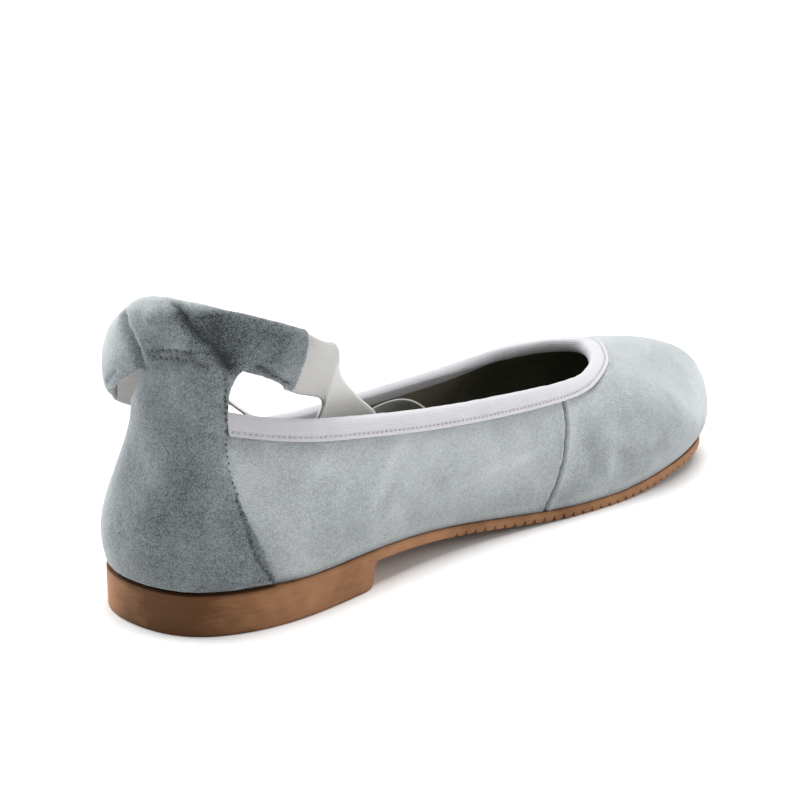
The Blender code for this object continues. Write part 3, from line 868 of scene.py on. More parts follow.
STROKES = (
    # Painted shade: the long, low bands near the sole darken the upper there; the other strokes are
    # nap patches.
    Stroke(66, 0.50, 24.0, 26.0, 0, -0.17),
    Stroke(138, 0.46, 10.0, 12.0, 0, 0.18),
    Stroke(100, 0.10, 90.0, 11.0, 0, -0.22),
    Stroke(200, 0.10, 40.0, 5.0, 0, -0.08),
    Stroke(222, 0.45, 20.0, 26.0, 0, -0.14),
    Stroke(165, 0.45, 9.0, 16.0, 0, -0.10),
    Stroke(47, 0.86, 6.5, 5.0, 0, -0.30),
    Stroke(69, 0.86, 5.0, 3.0, 0, -0.12),
    Stroke(56, 0.60, 7.0, 3.0, 60, -0.08),
    Stroke(67, 0.71, 11.0, 2.4, 42, 0.20),
    Stroke(89, 0.56, 13.0, 2.0, 46, 0.24),
    Stroke(87, 0.36, 12.0, 2.6, 42, -0.17),
    Stroke(66, 0.40, 10.0, 3.2, 55, 0.12),
    Stroke(81, 0.21, 9.0, 3.0, 20, 0.12),
    Stroke(49, 0.14, 7.0, 5.0, 70, 0.15),
    Stroke(98, 0.74, 7.0, 3.0, 30, 0.10),
    Stroke(111, 0.45, 9.0, 3.6, 12, -0.15),
    Stroke(118, 0.49, 1.4, 0.9, 20, 0.16),
    Stroke(131, 0.42, 16.0, 1.9, 12, 0.14),
    Stroke(116, 0.74, 10.0, 3.0, 30, 0.08),
    Stroke(146, 0.68, 4.0, 4.0, 0, -0.08),
    Stroke(148, 0.40, 5.5, 4.0, 0, -0.08),
    Stroke(130, 0.13, 28.0, 4.5, 2, -0.12),
    Stroke(161, 0.52, 13.0, 2.3, 88, 0.27),
    Stroke(171, 0.47, 4.8, 3.4, 20, -0.34),
    Stroke(174, 0.27, 5.2, 4.2, 10, -0.46),
    Stroke(162, 0.09, 5.5, 3.4, 0, -0.38),
    Stroke(182, 0.28, 9.0, 1.8, 84, 0.20),
    Stroke(192, 0.19, 5.8, 6.2, 80, -0.42),
    Stroke(204, 0.22, 3.2, 6.2, 80, -0.30),
    Stroke(190, 0.56, 12.0, 5.0, 10, -0.18),
    Stroke(187, 0.45, 3.0, 3.0, 0, 0.16),
    Stroke(223, 0.50, 5.5, 2.5, 60, -0.14),
    Stroke(232, 0.33, 4.0, 7.0, 80, 0.10),
    Stroke(470, 0.55, 16.0, 4.0, 20, -0.14),
    Stroke(430, 0.50, 12.0, 3.0, -20, 0.12),
    Stroke(350, 0.40, 8.0, 5.0, 30, -0.18),
    Stroke(310, 0.45, 7.0, 4.0, 60, 0.12),
)


@dataclass
class Upper(Piece):
    """Vamp and quarters on one hollow wall, with the closed seams at the ball."""

    columns: int = 620
    rows: int = 58
    inner_rows: int = 18
    seam_depth: float = 0.9
    unrolled: float = 46.0
    strokes: tuple[Stroke, ...] = STROKES

    def positions(self) -> Array:
        """Loop positions, even all round and three times denser at the two seams."""
        even = np.linspace(0, self.last.around, self.columns, endpoint=False)
        near = np.linspace(-5.2, 5.2, 37)
        seams = [self.last.seam_in + 2.6, self.last.seam_out - 2.6]
        kept = even[np.min([np.abs(even - seam) for seam in seams], axis=0) > 5.4]
        return np.sort(np.concatenate([kept] + [seam + near for seam in seams]))

    def relief(self, t: Array, v: Array, face: Array) -> tuple[Array, Array]:
        """Height of the relief over the smooth face.

        Each seam bows towards the toe. It is a narrow trough with a low ridge on the vamp's side
        and small puckers that fade away from it; broad ripples of the leather fade towards the
        sole and the collar.

        Args:
            t: loop positions.
            v: heights from the sole to the rim.
            face: the face's points.

        Returns:
            Heights in millimetres, one for each point, in all and of the seams alone.
        """
        to_in = t - self.last.seam_in
        to_out = self.last.seam_out - t
        ahead = np.where(np.abs(to_in) < np.abs(to_out), to_in, to_out)[None, :]
        wander = 0.2 * ripple(face, 9.0, 5)
        bow = 2.6 - 1.3 * v + 3.2 * np.sin(math.pi * v)
        off = ahead + wander - bow[:, None]
        seam = -self.seam_depth * np.exp(-(off / 0.50) ** 2)
        seam += 0.30 * np.exp(-((off - 1.5) / 0.9) ** 2) + 0.16 * np.exp(-((off + 1.6) / 1.0) ** 2)
        pucker = 0.13 * np.sin(v[:, None] * 70) * np.exp(-(np.abs(off) / 3.2) ** 1.5)
        fade = np.clip(v * 8, 0, 1) * np.clip((1 - v) * 9, 0, 1)
        broad = 0.30 * ripple(face, 42, 11) + 0.14 * ripple(face, 17, 12)
        broad += 0.04 * ripple(face, 6, 13)
        seam = seam * np.clip((1 - v[:, None]) * 30, 0, 1)
        return seam + pucker + broad * fade[:, None], seam

    def seam_tone(self, seam: Array) -> Array:
        """Painted shade in the seams' troughs."""
        return -0.85 * ease(0.22, 0.75, -seam)

    def brush(self, t: Array, v: Array, face: Array) -> Array:
        """Tone of the nap and painted shade: listed patches, each a soft ellipse on the unrolled
        wall, and a dark line along the foot.
        """
        half = self.last.around / 2
        bent = np.maximum(1 + 0.45 * ripple(face, 9, 31), 0.6)
        # Painted shade: a dark line along the foot, where the upper meets the sole.
        total = 0.05 * ripple(face, 30, 21) - 0.25 * np.exp(-(v / 0.025) ** 2)[:, None]
        for stroke in self.strokes:
            du = np.mod(t - stroke.t + half, self.last.around) - half
            dv = (v - stroke.v)[:, None] * self.unrolled
            turn = math.radians(stroke.turn)
            long = (du * math.cos(turn) + dv * math.sin(turn)) / stroke.long
            wide = (dv * math.cos(turn) - du * math.sin(turn)) / stroke.wide
            total = total + stroke.tone * np.exp(-((long ** 2 + wide ** 2) * bent))
        return np.where(total < 0, 0.6 * np.tanh(total / 0.6), total)

    def build(self) -> bpy.types.Object:
        """Makes the hollow wall, suede outside and lining inside."""
        t = self.positions()
        v = (1 - np.cos(np.linspace(0, math.pi, self.rows))) / 2 * 0.55
        v += np.linspace(0, 1, self.rows) * 0.45
        face = self.last.face(t, v)
        normal = self.last.normal(t, v)
        relief, seam = self.relief(t, v, face)
        outer = face + normal * relief[..., None]
        outer[0, :, 2] -= self.last.gap * 0.9
        outer[1, :, 2] -= self.last.gap * 0.5
        sparse = np.linspace(0, 1, self.inner_rows)
        low = self.last.face(t, sparse) - self.last.normal(t, sparse) * self.last.wall
        low[0, :, 2] = outer[0, :, 2]
        ring = np.concatenate([outer, low[::-1]], axis=0)
        surface = Surface.grid(ring, wrap_rows=True, wrap_columns=True)
        row = np.repeat(np.arange(ring.shape[0]), len(t))
        surface.finish = (row >= self.rows - 1).astype(int)
        made = write_mesh("upper_shell", surface.facing_out(), [
            Suede("suede_upper").material(), Lining("lining_upper").material(),
        ])
        tone = self.brush(t, v, face) + self.seam_tone(seam)
        tone = np.concatenate([tone, np.zeros((self.inner_rows, len(t)))], axis=0)
        add_attribute(made, "brush", tone)
        return self.join(made, "upper", "upper")


# Painted light on the lateral side; the sole is also lighter towards the toe.
SOLE_SHADES = (Shade(0.32, ((0, 2.0, -18.0),)), Shade(0.22, ((1, 150.0, 215.0),)))


@dataclass
class Sole(Piece):
    """Outsole with its notched tread, and the low heel under it."""

    pitch: float = 4.0
    depth: float = 1.1
    width: float = 1.35
    heel_length: float = 73.5
    columns: int = 1900
    heel_corner: float = 13.0
    heel_lean: float = 2.5
    heel_fillet: float = 3.0

    def heel_outline(self) -> Array:
        """Edge of the heel, from the lateral corner round the back to the medial one.

        It follows the sole's edge up to the front corners, which are quarter circles, and closes
        with a straight front.
        """
        t = np.linspace(-100, 100, 1400)
        edge = self.last.loop(t)[:, :2]
        back = edge[edge[:, 1] < self.heel_length - self.heel_corner]
        turn = np.linspace(0, math.pi / 2, 16)[1:]
        y = self.heel_length - self.heel_corner * (1 - np.sin(turn))
        inset = self.heel_corner * (1 - np.cos(turn))
        sides = []
        for half, sign in ((edge[t > 0], 1), (edge[t < 0][::-1], -1)):
            sides.append(np.stack([np.interp(y, half[:, 1], half[:, 0]) - sign * inset, y], axis=1))
        medial, lateral = sides[0], sides[1][::-1]
        share = np.linspace(0, 1, 60)[1:-1, None]
        front = medial[-1] + (lateral[0] - medial[-1]) * share
        return np.concatenate([back, medial, front, lateral])

    def grooves(self, y: Array) -> Array:
        """Depth of the tread at stations y: V grooves every pitch under the forefoot."""
        first, last = 0.418 * self.last.length, 0.965 * self.last.length
        count = int(np.ceil((last - first) / self.pitch))
        near = np.clip(np.round((y - first) / self.pitch), 0, count - 1) * self.pitch + first
        deep = self.depth * (0.75 + 0.25 * ease(0.46, 0.54, y / self.last.length))
        return deep * np.clip(1 - np.abs(y - near) / (self.width / 2), 0, 1)

    def plate(
        self, edge: Array, top: Callable[[Array], Array], bottom: Callable[[Array], Array],
        shares: Array, bevel: float, small: float, levels: Sequence[float] = (0.35, 0.65),
    ) -> Array:
        """Rings from the top's middle over the edge to the bottom's middle.

        Each ring draws the edge in towards a spine along the shoe by one minus its share. The
        side is rounded by quarter circles, one at each face.

        Args:
            edge: outline, x and y.
            top: function of y that gives the upper height.
            bottom: function of y that gives the lower height.
            shares: shares for the flat rings, from the middle to near the edge.
            bevel: radius of the lower edge.
            small: radius of the upper edge.
            levels: heights of the rings on the side, as shares from its top.

        Returns:
            Grid of rings by outline points.
        """
        anchor = self.last.spine(edge)
        outward = unit(edge - anchor)
        rings = []

        def ring(share: float, inset: float, rise: float, upper: bool) -> None:
            """Adds a ring: drawn in, inset from the edge and raised from its face."""
            flat = anchor + (edge - anchor) * share - outward * inset
            face = top(flat[:, 1]) if upper else bottom(flat[:, 1])
            rings.append(np.stack([flat[:, 0], flat[:, 1], face + rise], axis=1))

        for share in shares:
            ring(share, small, 0.0, True)
        for angle in np.radians([30, 60, 90]):
            ring(1.0, small * (1 - math.sin(angle)), -small * (1 - math.cos(angle)), True)
        for level in levels:
            high = rings[-1][:, 2]
            low = bottom(edge[:, 1]) + bevel
            rings.append(np.stack([edge[:, 0], edge[:, 1], high + (low - high) * level], axis=1))
        for angle in np.radians([0, 30, 60, 90]):
            ring(1.0, bevel * (1 - math.cos(angle)), bevel * (1 - math.sin(angle)), False)
        for share in shares[::-1]:
            ring(share, bevel, 0.0, False)
        return np.array(rings)

    def worn_and_shaded(self, made: bpy.types.Object, notched: bool) -> None:
        """Tones the leather: a random tint, painted light and shade, and the heel darker at its
        lower rim.
        """
        points = mesh_points(made)
        x, y, z = points.T
        depth = self.last.sole_top(y) - z
        # Painted shade: a dark line along the top, under the upper's edge, fainter towards the toe.
        line = 0.34 * np.exp(-(depth / 0.35) ** 2) * (1 - 0.6 * ease(130.0, 190.0, y))
        # Painted shade on the back of the heel, towards the medial side.
        stain_and_shade = 0.62 * np.exp(-((x - 15) ** 2 + (y - 6) ** 2) / 19 ** 2)
        tint = 0.10 * ripple(points, 26, 41) + 0.05 * ripple(points, 7, 42)
        # Painted shade in the outsole's notches; the heel instead is darker at its lower rim.
        if notched:
            low = 0.55 * self.grooves(y) / self.depth * (depth > self.last.sole_thick - 1.5)
        else:
            low = 0.25 * np.exp(-(z / 0.7) ** 2)
        add_attribute(made, "brush", tint + shaded(points, SOLE_SHADES) - line - low - stain_and_shade)

    def build(self) -> list[bpy.types.Object]:
        """Makes the outsole and the heel."""
        shares = np.array([0.0, 0.35, 0.7, 0.92, 1.0])
        t = np.linspace(0, self.last.around, self.columns, endpoint=False)
        edge = self.last.loop(t)[:, :2]
        top = self.last.sole_top
        rings = self.plate(
            edge, top, lambda y: top(y) - self.last.sole_thick + self.grooves(y), shares, 0.5, 0.25,
        )
        leather = SoleLeather("sole_leather").material()
        closed = Surface.grid(rings, wrap_columns=True).facing_out()
        outsole = write_mesh("outsole_tread", closed, [leather])
        self.worn_and_shaded(outsole, True)
        self.join(outsole, "outsole", "outsole")

        rings = self.plate(
            self.heel_outline(), lambda y: top(y) - self.last.sole_thick + 0.5,
            lambda y: np.zeros(len(y)), shares, 0.6, 0.02, (0.06, 0.12, 0.2, 0.3, 0.42, 0.56, 0.75),
        )
        start = self.heel_length - self.heel_corner - self.heel_lean
        lean = ease(start, self.heel_length, rings[..., 1])
        rings[..., 1] -= self.heel_lean * lean * (1 - rings[..., 2] / rings[..., 2].max())
        below = top(rings[..., 1]) - self.last.sole_thick - rings[..., 2]
        rings[..., 1] += self.heel_fillet * lean * np.clip(1 - below / self.heel_fillet, 0, 1) ** 2
        closed = Surface.grid(rings, wrap_columns=True).facing_out()
        heel = write_mesh("heel_block", closed, [leather])
        self.worn_and_shaded(heel, False)
        return [outsole, self.join(heel, "heel", "heel")]


@dataclass
class Insole(Piece):
    """Dark foot bed on the sole, inside the wall."""

    thick: float = 2.0
    columns: int = 360
    profile: tuple[tuple[float, float], ...] = (
        (0, 1), (0.4, 1), (0.75, 1), (0.95, 1), (1, 0.75), (1, 0), (0.7, 0), (0, 0),
    )

    def build(self) -> bpy.types.Object:
        """Makes the bed from the inner edge of the wall's foot."""
        t = np.linspace(0, self.last.around, self.columns, endpoint=False)
        inner = -(self.last.wall + 2 * self.last.gap)
        foot, normal = self.last.at(t, 0.0)
        edge = foot + normal * inner
        anchor = self.last.spine(edge)
        rings = []
        for share, rise in self.profile:
            flat = anchor + (edge[:, :2] - anchor) * share
            high = self.last.sole_top(flat[:, 1]) + self.last.gap + self.thick * rise
            rings.append(np.column_stack([flat, high]))
        surface = Surface.grid(np.array(rings), wrap_columns=True).facing_out()
        made = write_mesh("foot_bed", surface, [Lining("lining_bed").material()])
        return self.join(made, "insole", "insole")


@dataclass
class Binding(Piece):
    """Ribbed tape folded over the collar, with its row of stitches."""

    drop: float = 5.2
    inside: float = 2.6
    thick: float = 0.8
    tuck: float = 1.6
    columns: int = 560
    stitch_pitch: float = 1.75
    stitch_length: float = 1.2
    stitch_thick: float = 0.46
    stitch_rise: float = 1.35

    def __post_init__(self) -> None:
        """Lays out the band under the rim: its face, normals and distances below the rim."""
        first = self.last.counter_in - self.tuck
        last = self.last.around + self.last.counter_out + self.tuck
        self.t = np.linspace(first, last, self.columns)
        levels = np.linspace(0.5, 1.0, 101)
        self.band = self.last.face(self.t, levels)
        self.turn = self.last.normal(self.t, levels)
        down = np.linalg.norm(np.diff(self.band[::-1], axis=0), axis=2)
        self.down = np.concatenate([np.zeros((1, self.columns)), np.cumsum(down, axis=0)])[::-1]

    def below(self, depth: float) -> tuple[Array, Array]:
        """Points and normals at a distance below the rim, between the two levels around it."""
        found = np.argmin(np.abs(self.down - depth), axis=0)
        low = np.clip(found - 1, 0, len(self.down) - 2)
        here = np.arange(self.columns)
        start, end = self.down[low, here], self.down[low + 1, here]
        share = ((start - depth) / np.maximum(start - end, 1e-9))[:, None]
        point, normal = [
            grid[low, here] + (grid[low + 1, here] - grid[low, here]) * share
            for grid in (self.band, self.turn)
        ]
        return point, unit(normal)

    def tape(self) -> tuple[Array, Array]:
        """Outer and inner grid of the tape, from its outer edge over the rim to its inner one."""
        rim, side = self.band[-1], self.turn[-1]
        up = unit(rim - self.band[-5])
        near, far = self.last.gap, self.last.gap + self.thick
        outer, inner = [], []
        for depth in np.linspace(self.drop, 0.9, 20):
            point, normal = self.below(depth)
            swell = 0.20 * math.sin(math.pi * (self.drop - depth) / self.drop)
            swell += 0.14 * math.exp(-((depth - self.drop + 0.25) / 0.4) ** 2)
            groove = -0.20 * math.exp(-((depth - self.drop + self.stitch_rise) / 0.4) ** 2)
            outer.append(point + normal * (far + swell + groove))
            inner.append(point + normal * near)
        half = self.last.wall / 2
        crown = rim - side * half
        for angle in np.radians(np.linspace(12, 168, 12)):
            reach = side * math.cos(angle)
            outer.append(crown + reach * (half + far) + up * (math.sin(angle) * (far + 0.25)))
            inner.append(crown + reach * (half + near) + up * (math.sin(angle) * near))
        for depth in np.linspace(0.8, self.inside, 4):
            point, normal = self.below(depth)
            outer.append(point - normal * (self.last.wall + far))
            inner.append(point - normal * (self.last.wall + near))
        outer, inner = smoothed(np.array(outer), 10), smoothed(np.array(inner), 10)
        # The inner half of the tape rounds the tip of the throat more widely than the rim does.
        late = ease(20.0, 30.0, np.arange(len(outer)))[:, None, None]
        late = late * np.exp(-((self.t - self.last.around / 2) / 62.0) ** 4)[None, :, None]
        outer += (smoothed(outer, 420) - outer) * late
        inner += (smoothed(inner, 420) - inner) * late
        wave = 0.06 * ripple(outer, 7, 51) + 0.03 * ripple(outer, 3.2, 52)
        return outer + unit(outer - inner) * wave[..., None], inner

    def stitches(self) -> Surface:
        """The row of thread near the tape's outer edge."""
        point, normal = self.below(self.drop - self.stitch_rise)
        rise = self.last.gap + self.thick - 0.12
        place = smoothed((point + normal * rise)[None], 10)[0]
        run = run_of(place)
        stops = np.arange(1.5, run[-1] - 1.0, self.stitch_pitch)
        return threads(
            resampled(stops, run, place),
            unit(resampled(stops, run, np.gradient(place, axis=0))),
            unit(resampled(stops, run, normal)), self.stitch_length, self.stitch_thick,
        )

    def build(self) -> list[bpy.types.Object]:
        """Makes the tape and its thread."""
        outer, inner = self.tape()
        ribbon = Ribbing("binding_tape", Tone.RIBBON, Tone.RIBBON_DEEP, 0.66, 0.5, 0.05)
        made = write_mesh("collar_tape", slab(outer, inner), [ribbon.material()])
        shade = 0.24 * ease(100.0, 45.0, self.t)[None] + np.zeros(outer.shape[:2])
        shade += 0.28 * ease(21.0, 31.0, np.arange(len(outer)))[:, None]
        add_attribute(made, "brush", -np.concatenate([shade, shade[::-1]]))
        self.join(made, "collar_binding", "collar_binding")
        pale = Thread("thread_pale", Tone.THREAD).material()
        thread = write_mesh("collar_stitches", self.stitches(), [pale])
        return [made, self.join(thread, "collar_binding")]


class SleeveRow(NamedTuple):
    """Centre of the ankle sleeve and its section, in shares."""

    x: float
    y: float
    up: float
    tall: float
    lean_x: float
    lean_y: float
    thick: float


SLEEVE = (
    SleeveRow(0.288, 0.183, -0.225, 1.020, 0.222, 0.130, 0.733),
    SleeveRow(0.300, 0.135, 0.106, 0.889, 0.167, 0.000, 0.833),
    SleeveRow(0.243, 0.088, 0.367, 0.806, 0.056, 0.111, 0.933),
    SleeveRow(0.092, 0.059, 0.467, 0.889, 0.000, 0.167, 1.000),
    SleeveRow(-0.066, 0.047, 0.278, 1.073, 0.000, 0.111, 0.933),
    SleeveRow(-0.184, 0.047, -0.038, 1.122, 0.111, 0.111, 0.933),
    SleeveRow(-0.276, 0.057, -0.283, 1.000, 0.111, 0.111, 0.833),
    SleeveRow(-0.330, 0.070, -0.470, 0.944, 0.056, 0.056, 0.733),
)


class Crease(NamedTuple):
    """A soft trough along a line on the skin, or a ridge where its depth is below 0. Its tone is
    painted shade in a trough and painted light on a ridge.
    """

    line: tuple[tuple[float, float, float], ...]
    depth: float
    width: float
    tone: float
    spread: float


class Seam(NamedTuple):
    """A row of stitch holes along a line on the skin."""

    line: tuple[tuple[float, float, float], ...]
    pitch: float
    length: float


FOLD = (
    (6.6, 14.3, 88.9), (10.3, 13.8, 85.9), (12.9, 14.2, 82.7), (15.2, 15.2, 80.2),
    (17.7, 16.8, 77.7), (19.4, 19.0, 74.9), (20.3, 21.8, 71.8),
)
ROOT = ((17.0, 17.5, 83.0), (19.0, 19.5, 79.5), (20.5, 22.0, 76.0))
HOLLOW = ((9.4, 14.0, 87.0), (14.0, 15.8, 85.2), (18.5, 18.8, 83.7))
SIDE_FOLD = (
    (-8.4, 9.4, 83.0), (-7.4, 8.9, 81.0), (-4.3, 8.7, 78.0), (-2.6, 9.4, 75.0), (-2.7, 10.1, 71.0),
)
ROLL = (
    (2.0, 10.3, 84.0), (6.9, 11.3, 81.4), (11.8, 13.0, 79.0), (15.9, 15.5, 76.8),
    (18.1, 17.6, 74.6),
)
NECK_SEAM = (
    (1.4, 9.4, 75.1), (7.1, 10.9, 76.2), (11.6, 13.0, 76.5), (15.8, 15.5, 76.0),
    (17.9, 17.8, 74.3), (19.1, 20.1, 72.2),
)
NECK_SEAM_LOW = (
    (1.0, 11.6, 73.0), (6.2, 11.5, 73.7), (10.8, 13.5, 73.9), (14.7, 15.4, 73.4),
    (17.6, 17.0, 72.0),
)
TAB_SEAM = (
    (22.0, 18.0, 70.5), (21.6, 18.8, 65.1), (21.0, 19.4, 59.3), (21.3, 18.7, 52.7),
    (24.9, 19.3, 36.6), (29.6, 21.0, 21.3), (29.5, 27.6, 11.9),
)
TAB_EDGE = ((23.2, 18.8, 70.0), (23.1, 19.6, 65.1), (22.8, 19.8, 60.0))
WING_HEM = (
    (23.1, 28.1, 72.0), (23.3, 31.3, 69.8), (22.7, 35.4, 67.0), (22.4, 38.8, 65.1),
    (21.8, 41.5, 63.4),
)
SIDE_HEM = ((-18.9, 10.5, 62.4), (-20.1, 12.0, 62.4), (-20.1, 14.0, 63.0), (-19.0, 16.0, 64.5))

CREASES = (
    Crease(FOLD, 1.9, 1.7, -0.22, 2.2),
    Crease(HOLLOW, 1.2, 4.5, -0.15, 5.0),
    Crease(ROOT, 0.9, 2.6, -0.12, 3.2),
    Crease(SIDE_FOLD, 1.6, 1.6, -0.26, 2.4),
    Crease(ROLL, -0.9, 2.6, 0.10, 2.6),
    Crease(NECK_SEAM, 0.25, 0.7, -0.12, 1.0),
    Crease(NECK_SEAM_LOW, 0.25, 0.7, -0.12, 1.0),
    Crease(TAB_SEAM, 0.45, 0.7, -0.05, 0.9),
    Crease(TAB_EDGE, -0.15, 0.7, 0.14, 0.8),
    Crease(WING_HEM, 0.30, 0.6, -0.20, 0.8),
    Crease(SIDE_HEM, 0.55, 0.7, -0.25, 0.7),
)
SEAMS = (
    Seam(NECK_SEAM, 2.1, 0.9), Seam(NECK_SEAM_LOW, 2.1, 0.9), Seam(TAB_SEAM, 1.7, 0.9),
    Seam(WING_HEM, 1.7, 0.9),
)


# Painted light: lighter on the lateral side and the lateral wing; the medial wing and the low
# medial side are darker.
TAB_SHADES = (
    Shade(0.26, ((0, 0.0, -18.0),)),
    Shade(0.50, ((0, 4.0, -16.0), (2, 64.0, 78.0))),
    Shade(-0.14, ((1, 16.0, 24.0), (2, 66.0, 70.0))),
    Shade(-0.10, ((2, 48.0, 14.0), (0, -2.0, 10.0))),
)


@dataclass
class AnkleBack(Piece):
    """Heel tab and ankle sleeve, sewn into one soft piece behind the ankle."""

    tab_thick: float = 1.5
    tab_gap: float = 0.45
    tab_rise: float = 10.9
    tab_nip: float = 0.12
    tab_flare: float = 0.035
    sleeve_height: float = 18.0
    sleeve_thick: float = 6.0
    padding: float = 0.55
    voxel: float = 0.55
    sight: tuple[float, float, float] = (0.6615, -0.6921, 0.2890)

    def neck(self, t: Array) -> tuple[Array, Array, Array]:
        """Rim under the tab, its normals, and the neck's line above it."""
        last = self.last
        rim, normal = last.at(t, 1.0)
        back = last.rim_back * last.length
        side = (rim[:, 0] - last.middle) / (rim[:, 0].max() - last.middle)
        inward = np.clip(side, 0, 1) ** 2
        neck = rim.copy()
        neck[:, 0] = last.middle + 3.0 + (rim[:, 0] - last.middle) * 0.96 - 1.6 * inward
        neck[:, 1] = back + 5.4 + (rim[:, 1] - back) * 0.48 + 1.8 * inward
        neck[:, 2] = last.collar_height + self.tab_rise - 1.5 * side ** 2
        return rim, normal, neck

    def tab(self) -> Surface:
        """Slab of the counter panel, from the sole over the collar and up to the neck.

        Below the rim it follows the upper's face at a small distance, its sides drawn in by a
        half sine and the medial one flared at the foot. Above, it runs straight to the neck and
        on into the sleeve. There its sides swing along the sleeve as a quarter circle does,
        which rounds the gap beside the neck.
        """
        t = np.linspace(self.last.counter_out, self.last.counter_in, 70)
        outer, inner = [], []
        for level in np.linspace(0.015, 0.97, 34):
            nip = self.tab_nip * math.sin(math.pi * level)
            drawn = t * (1 - nip + self.tab_flare * (1 - level) ** 3 * (t > 0))
            point, normal = self.last.at(drawn, level)
            outer.append(point + normal * (self.tab_gap + self.tab_thick))
            inner.append(point + normal * self.tab_gap)
        rim, normal, neck = self.neck(t)
        across = np.clip((t - t.mean()) / (t[-1] - t.mean()), -1, 1)
        medial, lateral = np.clip(across, 0, 1) ** 5, np.clip(-across, 0, 1) ** 5
        swing = medial[:, None] * [1.4, 6.6, -0.8] + lateral[:, None] * [-2.4, 0.4, 0.0]
        for share in np.linspace(0.0, 1.22, 24):
            beyond = np.array([0, 0, 13.0]) * max(share - 1, 0)
            centre = rim + (neck - rim) * min(share, 1.0) + beyond
            late = min(1.0, max(0.0, (share - 0.42) / 0.66))
            centre = centre + swing * (1 - math.sqrt(1 - late ** 2))
            far = (self.tab_gap + self.tab_thick) * (1 - 0.15 * min(share, 1))
            over = float(ease(0.05, 0.2, np.array(share)))
            near = self.tab_gap - (self.last.wall + self.tab_gap) * over
            outer.append(centre + normal * far)
            inner.append(centre + normal * near)
        return slab(np.array(outer), np.array(inner))

    def centre_line(self, count: int) -> Array:
        """The sleeve's table in millimetres, at even places."""
        neck = self.last.collar_height + self.tab_rise
        sizes = [self.last.ball_width, self.last.length]
        sizes += [self.sleeve_height] * 4 + [self.sleeve_thick]
        rows = np.array(SLEEVE) * sizes + np.array([0, 0, neck, 0, 0, 0, 0])
        return open_curve(rows, count)

    def sleeve(self) -> Surface:
        """Folded tube round the back of the ankle, its section pinched at the seam below."""
        rows = self.centre_line(120)
        centre = rows[:, :3]
        along = unit(np.gradient(centre, axis=0))
        wide = unit(np.stack([rows[:, 4], rows[:, 5], rows[:, 3]], axis=1))
        across = unit(np.cross(along, wide))
        angle = np.linspace(0, 2 * math.pi, 44, endpoint=False)
        high = np.sign(np.sin(angle)) * np.abs(np.sin(angle)) ** 0.8
        deep = np.sign(np.cos(angle)) * np.abs(np.cos(angle)) ** 0.8
        pinch = 0.62 + 0.38 * ease(-1.0, -0.35, high)
        ring = (
            centre[None] + wide[None] * (high[:, None] * rows[None, :, 3] / 2)[..., None]
            - across[None] * ((deep * pinch)[:, None] * rows[None, :, 6] / 2)[..., None]
        )
        half = len(angle) // 2
        return slab(ring[:half], ring[half:][::-1])

    def on_skin(
        self, line: Sequence[Sequence[float]], pitch: float, points: Array, normals: Array,
    ) -> Array:
        """Vertices nearest to even places along a line, found along the photograph's line of sight.

        Args:
            line: corners of the line, near the skin.
            pitch: distance between places.
            points: the skin's vertices.
            normals: their normals.

        Returns:
            Vertex numbers, one for each place.
        """
        corners = np.array(line)
        run = run_of(corners)
        places = resampled(np.arange(pitch / 2, run[-1], pitch), run, corners)
        sight = np.array(self.sight)
        shown = np.flatnonzero(normals @ sight > 0)
        found = []
        for place in places:
            gap = points[shown] - place
            deep = gap @ sight
            aside = np.linalg.norm(gap - deep[:, None] * sight, axis=1)
            found.append(shown[np.argmin(aside + 0.12 * np.abs(deep))])
        return np.array(found)

    def pressed(self, points: Array, normals: Array) -> tuple[Array, Array]:
        """Heights and tones of the folds, each a Gaussian of the distance from its line; the tones
        are painted shade in the troughs and painted light on the ridges.
        """
        height, tone = np.zeros(len(points)), np.zeros(len(points))
        for crease in CREASES:
            line = points[self.on_skin(crease.line, 1.0, points, normals)]
            gap = line_distance(points, line)
            height -= crease.depth * np.exp(-(gap / crease.width) ** 2)
            tone += crease.tone * np.exp(-(gap / crease.spread) ** 2)
        for seam in SEAMS:
            for place in points[self.on_skin(seam.line, seam.pitch, points, normals)]:
                tone -= 0.08 * np.exp(-((points - place) ** 2).sum(axis=1) / 0.8 ** 2)
        return height, tone

    def sewn(self, points: Array, normals: Array) -> Surface:
        """Stitch holes, as short dark dashes of painted shade lying in their seams."""
        rng = np.random.default_rng(71)
        rows = []
        for seam in SEAMS:
            found = self.on_skin(seam.line, seam.pitch, points, normals)
            places = points[found]
            along = unit(np.gradient(places, axis=0) + rng.normal(0, 0.25, places.shape))
            places = places + rng.normal(0, 0.14, places.shape) - normals[found] * 0.12
            rows.append(threads(places, along, normals[found], seam.length, 0.62))
        return rows[0].joined(*rows[1:])

    def build(self) -> list[bpy.types.Object]:
        """Makes both as one remeshed, smoothed skin, then presses the folds and the seams in."""
        # The tab's suede is a darker copy of the upper's, partly painted shade.
        suede = Suede("suede_tab", Tone.TAB_LIGHT, Tone.TAB_MID, Tone.TAB_DEEP, 0.16, 0.42, 0.39)
        both = self.tab().joined(self.sleeve())
        made = write_mesh("heel_tab_and_sleeve", both, [suede.material()])
        remesh = made.modifiers.new("skin", "REMESH")
        remesh.mode = "VOXEL"
        remesh.voxel_size = self.voxel * MM
        smooth = made.modifiers.new("soft", "SMOOTH")
        smooth.factor = 0.5
        smooth.iterations = 12
        settle(made)
        mesh = made.data
        points = mesh_points(made)
        normals = vertex_normals(made)
        height, tone = self.pressed(points, normals)
        height += self.padding * ease(64.0, 71.0, points[:, 2])
        height += 0.12 * ripple(points, 14, 62) + 0.05 * ripple(points, 5, 63)
        points = points + normals * height[:, None]
        mesh.vertices.foreach_set("co", to_frame(points))
        mesh.update()
        normals = vertex_normals(made)
